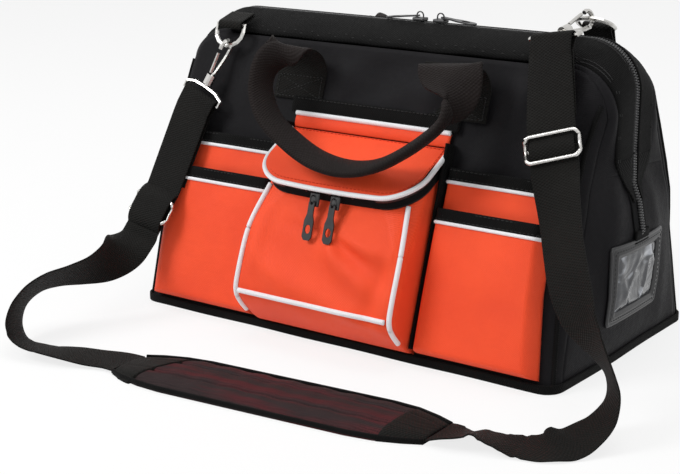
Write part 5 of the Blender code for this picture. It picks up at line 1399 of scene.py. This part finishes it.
@dataclass
class CardWindow:
    """The card window on the right end: a welded plastic rim with ribs, and its creased film."""

    form: BagForm = FORM
    width: float = 0.088
    height: float = 0.066
    rim: float = 0.0110
    corner: float = 0.004
    level: float = 0.068
    film_folds: tuple[Fold, ...] = (
        Fold(-0.010, 0.004, 55, 0.020, 0.0030, 0.0016), Fold(0.012, -0.006, 70, 0.018, 0.0028, 0.0018),
        Fold(0.002, 0.010, 20, 0.022, 0.0030, -0.0012), Fold(-0.020, -0.010, 110, 0.014, 0.003, 0.0014),
        Fold(0.024, 0.012, 130, 0.014, 0.003, 0.0014))

    def loop(self, inset: float, lift: float) -> Array:
        """A rounded rectangle on the end, moved in from the rim's outer edge and lifted off."""
        radius = max(self.corner - inset * 0.3, 0.0012)
        ring = round_rectangle(self.width / 2 - inset, self.height / 2 - inset, radius, 6, 160)
        return self.on_end(ring[:, 0], ring[:, 1], lift)

    def on_end(self, y: Array, z: Array, out: Array) -> Array:
        """Points over the right end's swollen face, from the window's middle."""
        points = self.form.on_end(Side.RIGHT, y, self.level + z)
        points[..., 0] += out
        return points

    def build(self) -> None:
        """Makes the rim, the film and their seam."""
        ribs = ((0.0, 0.0006), (0.0004, 0.0024), (0.0012, 0.0030), (0.0022, 0.0030), (0.0030, 0.0022),
                (0.0038, 0.0030), (0.0062, 0.0030), (0.0070, 0.0036), (0.0078, 0.0036), (0.0086, 0.0028),
                (0.0100, 0.0026), (0.0107, 0.0020), (0.0110, 0.0008))
        out = np.array([1.0, 0.0, 0.0])
        cloth_grid("card_rim", np.stack([self.loop(*rib) for rib in ribs]), WINDOW_RIM, out, 0.0008,
                   node="card_window_rim")
        w, h = self.width / 2 - self.rim + 0.0012, self.height / 2 - self.rim + 0.0012
        y, z = np.linspace(-w, w, 70)[None], np.linspace(-h, h, 54)[:, None]
        edge = np.minimum(w - np.abs(y), h - np.abs(z))
        rise = 0.0012 + (relief(self.film_folds, y, z) + 0.0012) * smoothstep(0.0, 0.006, edge)
        cloth_grid("card_film_sheet", self.on_end(y, z, rise), FILM, out, 0.0004, node="card_window_film")
        stitches("card_rim_stitches", self.loop(0.0050, 0.0029), out, THREAD)


LEFT_ROUTE = np.array([
    (-0.198, -0.1305, 0.0625, 0.989, 0.06, -0.136), (-0.1989, -0.1429, 0.0566, 0.843, 0.034, -0.537),
    (-0.197, -0.1589, 0.0538, 0.319, 0.564, -0.762), (-0.1965, -0.1759, 0.0506, -0.148, 0.435, -0.888),
    (-0.2005, -0.1936, 0.048, -0.506, 0.344, -0.791), (-0.2073, -0.2116, 0.0466, -0.679, 0.29, -0.675),
    (-0.2138, -0.2296, 0.044, -0.631, 0.464, -0.622), (-0.2162, -0.2468, 0.0366, -0.557, 0.578, -0.597),
    (-0.2128, -0.2609, 0.0252, -0.436, 0.723, -0.536), (-0.2037, -0.2697, 0.0137, -0.287, 0.839, -0.462),
    (-0.1877, -0.2714, 0.0055, -0.124, 0.946, -0.3), (-0.1696, -0.2694, 0.0062, -0.047, 0.978, -0.204),
    (-0.1519, -0.2645, 0.0055, -0.24, 0.965, -0.11), (-0.1335, -0.2565, 0.0032, -0.22, 0.975, -0.04),
    (-0.115, -0.2499, 0.0026, -0.03, 0.999, -0.01), (-0.1012, -0.2497, 0.0028, 0, 1, 0)])
RIGHT_ROUTE = np.array([
    (0.1858, -0.0892, 0.15, 0.927, 0.05, 0.371), (0.1939, -0.0986, 0.1341, 0.878, -0.028, 0.478),
    (0.2028, -0.1104, 0.1187, 0.835, -0.037, 0.549), (0.2125, -0.1223, 0.1038, 0.778, 0.025, 0.628),
    (0.2232, -0.133, 0.0889, 0.791, -0.08, 0.607), (0.235, -0.141, 0.0739, 0.789, -0.346, 0.508),
    (0.2486, -0.1447, 0.0596, 0.082, -0.421, 0.903), (0.2613, -0.1487, 0.0453, 0.421, -0.732, 0.535),
    (0.2682, -0.1563, 0.0301, 0.599, -0.733, 0.323), (0.2672, -0.1686, 0.0168, 0.763, -0.624, 0.167),
    (0.2612, -0.1846, 0.0082, 0.938, -0.341, 0.054), (0.255, -0.1978, 0.006, 0.76, -0.6, -0.23),
    (0.2453, -0.2076, 0.0042, 0.253, -0.948, -0.191), (0.232, -0.212, 0.002, -0.059, -0.997, -0.052),
    (0.2167, -0.2162, 0.004, -0.173, -0.968, 0.184), (0.2011, -0.2194, 0.0066, -0.177, -0.943, 0.282),
    (0.1855, -0.2257, 0.0062, -0.04, -0.99, 0.13), (0.1716, -0.2262, 0.0034, 0, -1, 0)])


@dataclass
class StrapSide:
    """One side of the shoulder strap, from its hook's bar to the pad.

    A row of its route is a place on the lower run and the direction of the webbing's width.
    """

    side: Side
    ring: Place
    ring_down: Place
    tab_run: Place
    hook_run: Place
    bar: Place
    slider: Place
    slider_across: Place
    route: Array
    body: Body
    slider_body: Body
    upper_body: Body | Bend


LEFT_STRAP = StrapSide(
    Side.LEFT, (-0.157, -0.0455, 0.2430), (0, -0.36, -0.93), (0, 0.90, 0.40), (-0.36, -0.30, -0.88),
    (0.93, -0.10, -0.35), (-0.1930, -0.1150, 0.0870), (0.985, -0.05, -0.15), LEFT_ROUTE, Body.BAG,
    Body.LEFT_SLIDER, Body.BAG)
RIGHT_STRAP = StrapSide(
    Side.RIGHT, (0.155, 0.0315, 0.2570), (0, -0.90, 0.44), (0, 0.42, -0.90), (-0.10, -0.965, -0.18),
    (0.93, -0.10, 0.17), (0.1735, -0.0745, 0.180), (0.955, 0.19, 0.22), RIGHT_ROUTE, Body.MOUTH,
    Body.RIGHT_SLIDER, Bend(Body.MOUTH, Body.BAG, (0.152, -0.034, 0.245), (0.170, -0.068, 0.192)))


@dataclass
class Strap:
    """The shoulder strap's webbing, both its doubled ends and its padded shoulder piece."""

    width: float = 0.038
    thickness: float = 0.0016
    layer_gap: float = 0.0016
    loop_wire: float = 0.0018
    ring_depth: float = 0.0190
    ring_wire: float = 0.0019
    hook_eye: float = 0.0085
    hook_wire: float = 0.0019
    hook_length: float = 0.0485
    turned_back: float = 0.94
    slider_wire: float = 0.0016
    slider_play: float = 0.0009
    slider_height: float = 0.024
    lead: float = 0.55
    gap: float = 0.0003
    pad_start: tuple[float, float] = (-0.100, -0.249)
    pad_end: tuple[float, float] = (0.170, -0.226)
    pad_width: float = 0.066
    pad_thickness: float = 0.0085
    tab_width: float = 0.025
    tab_length: float = 0.0180

    def hook_bar(self, strap: StrapSide) -> tuple[Array, Array]:
        """The bar that the strap's end goes round: its centre and its direction."""
        pull = unit(np.array(strap.hook_run))
        wire = np.array(strap.ring) + unit(np.array(strap.ring_down)) * self.ring_depth
        eye = wire + pull * (self.hook_eye - 2 * self.hook_wire - self.ring_wire - 3 * self.gap)
        return eye + pull * self.hook_length, square_to(pull, np.array(strap.bar))

    def doubled_end(self, bar: Array, axis: Array, foot: Array, across: Array) -> tuple[Array, Array]:
        """The strap's end: up behind, over the bar, and down in front to its foot.

        Returns:
            The path and the direction across at each of its points.
        """
        down = unit(foot - bar)
        reach = np.linalg.norm(foot - bar) * self.turned_back
        near = unit(down - axis * (down @ axis))
        normal, end_normal = unit(np.cross(near, axis)), unit(np.cross(down, across))
        normal = -normal if normal[1] > 0 else normal
        end_normal = -end_normal if end_normal[1] > 0 else end_normal
        turn = self.loop_wire + 2 * self.gap + self.thickness / 2
        apart = (self.thickness + self.layer_gap) / 2
        angle = np.linspace(0, np.pi, 15)[:, None]
        over = bar - normal * turn * np.cos(angle) - near * turn * np.sin(angle)
        start = bar + down * reach - end_normal * 2 * apart
        behind, before = (bar + near * 4 * turn + normal * apart * sign for sign in (-1, 1))
        t = np.linspace(0, 1, 12)[:, None]
        path = np.vstack([start + (behind - start) * t, over, before + (foot - before) * t])
        turned = np.vstack([across + (axis - across) * t, np.tile(axis, (15, 1)),
                            axis + (across - axis) * t])
        return path, turned

    def route_of(self, strap: StrapSide, start: Array) -> tuple[Array, Array]:
        """The long lower run: a smooth curve through the stations, kept above the floor."""
        rows = np.vstack([(*start, *strap.slider_across), strap.route])
        rows[:, 3:] = unit(rows[:, 3:])
        fine = smooth_curve(rows, 10)
        path, across = fine[:, :3].copy(), fine[:, 3:]
        tilt = np.abs(square_to(runs_of(path), across)[:, 2])
        path[:, 2] = np.maximum(path[:, 2], self.width / 2 * tilt + self.thickness)
        return path, across

    def build(self) -> None:
        """Makes both sides and the pad."""
        outline = soft_outline(self.width, self.thickness, 0.30, 32)
        for strap in (LEFT_STRAP, RIGHT_STRAP):
            word = strap.side.word
            bar, axis = self.hook_bar(strap)
            centre, across = np.array(strap.slider), np.array(strap.slider_across)
            run = unit(strap.route[0, :3] - centre)
            lead = run * self.width * self.lead
            level = np.tile(across, (7, 1))
            path, turned = self.doubled_end(bar, axis, centre - lead, across)
            tail = centre - lead + (lead - run * self.gap) * np.linspace(0, 1, 8)[1:, None]
            swept(word + "_upper_webbing", np.vstack([path, tail]), np.vstack([turned, level]), outline,
                  WEBBING, body=strap.upper_body, node=word + "_upper_strap")
            head = centre + run * self.gap + (lead - run * self.gap) * np.linspace(0, 1, 8)[:-1, None]
            path, turned = self.route_of(strap, centre + lead)
            swept(word + "_lower_webbing", np.vstack([head, path]), np.vstack([level, turned]), outline,
                  WEBBING, node=word + "_lower_strap")
            self.build_slide(strap, centre, across, run)
            self.build_tab(strap)
        self.build_pad()

    def build_tab(self, strap: StrapSide) -> None:
        """The folded webbing that holds a ring: round its bar, then flat down on the mouth's casing."""
        bar, lie = np.array(strap.ring), unit(np.array(strap.tab_run))
        normal = np.array([0.0, -lie[2], lie[1]])
        fold = self.ring_wire + self.gap + self.thickness / 2
        angle = np.linspace(0, np.pi, 13)[:, None]
        turn = bar + fold * (normal * np.cos(angle) - lie * np.sin(angle))
        foot, apart = bar + lie * self.tab_length, normal * self.thickness * 0.55
        t = np.linspace(0, 1, 9)[:, None]
        path = np.vstack([(foot + apart + (turn[0] - foot - apart) * t)[:-1], turn,
                          (turn[-1] + (foot - apart - turn[-1]) * t)[1:]])
        swept(strap.side.word + "_ring_webbing", path, np.array([1.0, 0.0, 0.0]),
              soft_outline(self.tab_width, self.thickness, 0.30, 24), WEBBING, body=strap.body,
              node=strap.side.word + "_ring_tab")

    def build_slide(self, strap: StrapSide, centre: Array, across: Array, run: Array) -> None:
        """The wire slide with round corners, and the turn of webbing over its middle bar.

        On the left the outer layer passes over the whole slide; on the right it shows between the
        slide's two outer bars.
        """
        word, body, wire = strap.side.word, strap.slider_body, self.slider_wire
        across = square_to(run, across)
        normal = np.cross(run, across)
        normal = -normal if normal[1] > 0 else normal
        half, tall = self.width / 2 + wire + 2 * self.gap, self.slider_height / 2 - wire
        clear = self.thickness / 2 + wire + self.slider_play
        loop = round_rectangle(half, tall, 0.0048, 8)
        lift = clear * smoothstep(tall * 0.35, tall * 0.85, np.abs(loop[:, 1:]))
        path = centre + loop[:, :1] * across + loop[:, 1:] * run + lift * normal
        tube(word + "_slide_wire", path, wire, NICKEL, closed=True, sides=14, body=body,
             node=word + "_strap_slider")
        y = np.linspace(-half, half, 30)[:, None]
        bar = centre + y * across - clear * smoothstep(half, half - 0.004, np.abs(y)) * normal
        tube(word + "_slide_bar", bar, wire, NICKEL, body=body)
        t = np.linspace(-1, 1, 25)[:, None]
        if strap.side is Side.LEFT:
            reach, bump, narrower = 0.0185, 0.0052 * (1 - np.abs(t) ** 4), 0.0
        else:
            reach, bump, narrower = 0.0088, 0.0030 * np.cos(np.pi * t / 2) ** 0.8, 0.003
        swept(word + "_slide_webbing", centre + t * reach * run + bump * normal, across,
              soft_outline(self.width - narrower, self.thickness, 0.30, 32), WEBBING, body=body)

    def pad_outline(self, half: float, top: float, ease: float) -> Array:
        """A closed section of the pad: a flat foot, round edges and a crown with two sewn channels."""
        v = np.linspace(-1, 1, 61)
        crown = (1 - np.abs(v) ** 3.2) ** 0.62
        channel = sum(0.34 * np.exp(-((v - place) / 0.055) ** 2) for place in (-0.36, 0.36))
        edge = 0.22 * np.exp(-((np.abs(v) - 0.86) / 0.05) ** 2)
        z = self.gap + top * np.clip(crown * (1 - (channel + edge) * ease), 0.0, None)
        upper = np.stack([v * half, z], axis=1)
        lower = np.stack([v[::-1][1:-1] * half * 0.985, np.full(59, self.gap)], axis=1)
        return np.vstack([upper, lower])

    @staticmethod
    def pad_piece(name: str, finish: Finish, middle: Array, outlines: Array, z: Array,
                  slant: Array | float = 0.0, **held: object) -> bpy.types.Object:
        """A closed run of sections along a middle line, with its UV map along and across them."""
        along, across = middle[:, :1], outlines[..., 0]
        points = np.stack(np.broadcast_arrays(along + slant, middle[:, 1:] + across, z), axis=-1)
        uv = np.stack(np.broadcast_arrays(along, across), axis=-1)
        return make_piece(name, points, solid_faces(points), finish, uv, **held)

    def build_pad(self) -> None:
        """The shoulder pad: quilted mesh, a bound edge and a cloth sleeve round the strap at each end."""
        t = np.concatenate([np.linspace(0, 0.25, 30), np.linspace(0.25, 0.75, 30)[1:-1],
                            np.linspace(0.75, 1, 30)])
        shares = [0.0, 0.05, 0.12, 0.20, 0.40, 0.60, 0.80, 0.88, 0.95, 1.0]
        wide = np.interp(t, shares, [0.60, 0.78, 0.93, 1.0, 1.0, 1.0, 1.0, 0.93, 0.75, 0.57])
        high = np.interp(t, shares, [0.45, 0.70, 0.95, 1.0, 1.0, 1.0, 1.0, 0.95, 0.70, 0.45])
        start, end = np.array(self.pad_start), np.array(self.pad_end)
        middle = start + (end - start) * t[:, None]
        outlines = np.stack([self.pad_outline(self.pad_width / 2 * w, self.pad_thickness * h,
                                              float(smoothstep(0.0, 0.12, np.array(min(s, 1 - s)))))
                             for w, h, s in zip(wide, high, t)])
        ripple = 0.0005 * np.sin(middle[:, :1] * 230) * np.sin(np.pi * t)[:, None]
        z = np.maximum(outlines[..., 1] + ripple * (outlines[..., 1] > 0.003), self.gap)
        pad = self.pad_piece("shoulder_pad_quilt", MESH, middle, outlines, z, node="shoulder_pad")
        for sign, name in ((-1, "front"), (1, "back")):
            path = np.stack([middle[:, 0], middle[:, 1] + sign * self.pad_width / 2 * wide * 0.985,
                             0.0022 + self.pad_thickness * high * 0.12], axis=1)
            swept(name + "_pad_binding", path, UP, soft_outline(0.0038, 0.0030, 0.7, 14), BINDING)
        for name, keep, slope in (("left", t < 0.135, 0.022), ("right", t > 0.885, 0.0)):
            outlines = np.stack([self.pad_outline(self.pad_width / 2 * w + 0.0006,
                                                  self.pad_thickness * h + 0.0007, 0.15)
                                 for w, h in zip(wide[keep], high[keep])])
            slant = outlines[..., 0] / self.pad_width * slope * smoothstep(0.0, 0.12, t[keep])[:, None]
            self.pad_piece(name + "_pad_sleeve", WEBBING, middle[keep], outlines, outlines[..., 1], slant)


def dress(names: list[str], finish: Finish) -> None:
    """Puts a finish on each named solid that stays."""
    for name in names:
        for slot in frame["nodes"][name].material_slots:
            slot.material = finish.material()


@dataclass
class Fittings:
    """The rigid pieces that keep their own solids: metal, zip sliders, frames and the board."""

    def build(self) -> None:
        """Dresses every solid that stays."""
        dress([f"{side.word}_{part}" for side in Side
               for part in ("ring", "hook", "hook_gate", "strap_loop")], NICKEL)
        dress([f"{side.word}_{place}_{part}" for side in Side for place in ("top", "box")
               for part in ("slider", "pull")], ENAMEL)
        dress(["front_frame", "back_frame", "left_hinge_rivet", "right_hinge_rivet"], STEEL)
        dress(["base_board"], BOARD)


@dataclass
class Studio:
    """Camera, floor and lamps."""

    camera_place: tuple[float, float, float] = (0.68247, -1.06817, 0.42147)
    azimuth: float = 35.3
    elevation: float = 15.7
    lens: float = 80.15
    sensor: float = 36.0
    floor_reach: float = 12.0
    aim: Place = (0.0, 0.0, 0.12)

    def build(self) -> None:
        """Sets up the whole studio."""
        self.build_camera()
        self.build_floor()
        self.build_light()
        bpy.context.scene.view_settings.view_transform = "Standard"

    @staticmethod
    def stand(name: str, data: bpy.types.ID, place: Place = (0.0, 0.0, 0.0),
              ahead: Vector | None = None) -> bpy.types.Object:
        """An object of the studio at its place, looking ahead."""
        thing = bpy.data.objects.new(name, data)
        thing.location = place
        if ahead is not None:
            thing.rotation_euler = ahead.to_track_quat("-Z", "Y").to_euler()
        bpy.context.scene.collection.objects.link(thing)
        return thing

    def build_camera(self) -> None:
        """The camera at the photograph's place and angle."""
        data = bpy.data.cameras.new("camera")
        data.lens, data.sensor_width, data.sensor_fit = self.lens, self.sensor, "HORIZONTAL"
        data.clip_start, data.clip_end = 0.05, 30.0
        a, e = math.radians(self.azimuth), math.radians(self.elevation)
        ahead = Vector((-math.sin(a) * math.cos(e), math.cos(a) * math.cos(e), -math.sin(e)))
        bpy.context.scene.camera = self.stand("camera", data, self.camera_place, ahead)

    def build_floor(self) -> None:
        """A wide pale floor that shows nearly white to the camera and still takes a soft shadow."""
        far = self.floor_reach
        mesh = bpy.data.meshes.new("floor")
        mesh.from_pydata([(-far, -far, 0), (far, -far, 0), (far, far, 0), (-far, far, 0)], [], [(0, 1, 2, 3)])
        material = bpy.data.materials.new("studio_floor")
        material.use_nodes = True
        nodes = Nodes(material.node_tree)
        shader = nodes.find("BSDF_PRINCIPLED")
        nodes.feed(shader, {"Base Color": (0.86, 0.86, 0.86, 1), "Roughness": 0.8})
        glow = nodes.add("Emission", {"Color": (1, 1, 1, 1), "Strength": 1.0})
        mix = nodes.add("MixShader", {0: nodes.math("MULTIPLY", self.seen_by_eye(nodes), 0.80),
                                      1: shader.outputs[0], 2: glow.outputs[0]})
        nodes.feed(nodes.find("OUTPUT_MATERIAL"), {"Surface": mix.outputs[0]})
        mesh.materials.append(material)
        self.stand("floor", mesh)

    @staticmethod
    def seen_by_eye(nodes: Nodes) -> bpy.types.NodeSocket:
        """1 for rays from the camera and for what metal and glass show."""
        path = nodes.add("LightPath")
        both = nodes.math("MAXIMUM", path.outputs["Is Camera Ray"], path.outputs["Is Glossy Ray"])
        return nodes.math("MAXIMUM", both, path.outputs["Is Transmission Ray"])

    def build_light(self) -> None:
        """A white surround and three broad soft lamps: key, fill and top."""
        world = bpy.data.worlds.new("studio")
        world.use_nodes = True
        bpy.context.scene.world = world
        nodes = Nodes(world.node_tree)
        nodes.feed(nodes.find("BACKGROUND"), {
            "Strength": nodes.spread(self.seen_by_eye(nodes), 0.0, 1.0, 0.42, 1.0), "Color": (1, 1, 1, 1)})
        for name, place, power, size in (("key", (-1.2, -1.5, 1.7), 36.0, 1.0),
                                         ("fill", (1.9, -1.0, 0.9), 7.0, 1.5),
                                         ("top", (0.1, 0.2, 2.2), 17.0, 1.5)):
            lamp = bpy.data.lights.new(name, "AREA")
            lamp.energy, lamp.size, lamp.shape = power, size, "SQUARE"
            self.stand(name, lamp, place, Vector(self.aim) - Vector(place))


def main() -> None:
    """Builds the studio and every sub-assembly in order."""
    logging.basicConfig(level=logging.INFO, format="%(name)s: %(message)s")
    Studio().build()
    for part in (Tub(), Mouth(), SidePockets(), BoxPocket(), Handles(), CardWindow(), Strap(), Fittings()):
        before = len(bpy.data.objects)
        part.build()
        log.info("%s: %d new pieces", type(part).__name__, len(bpy.data.objects) - before)


if __name__ == "__main__":
    main()
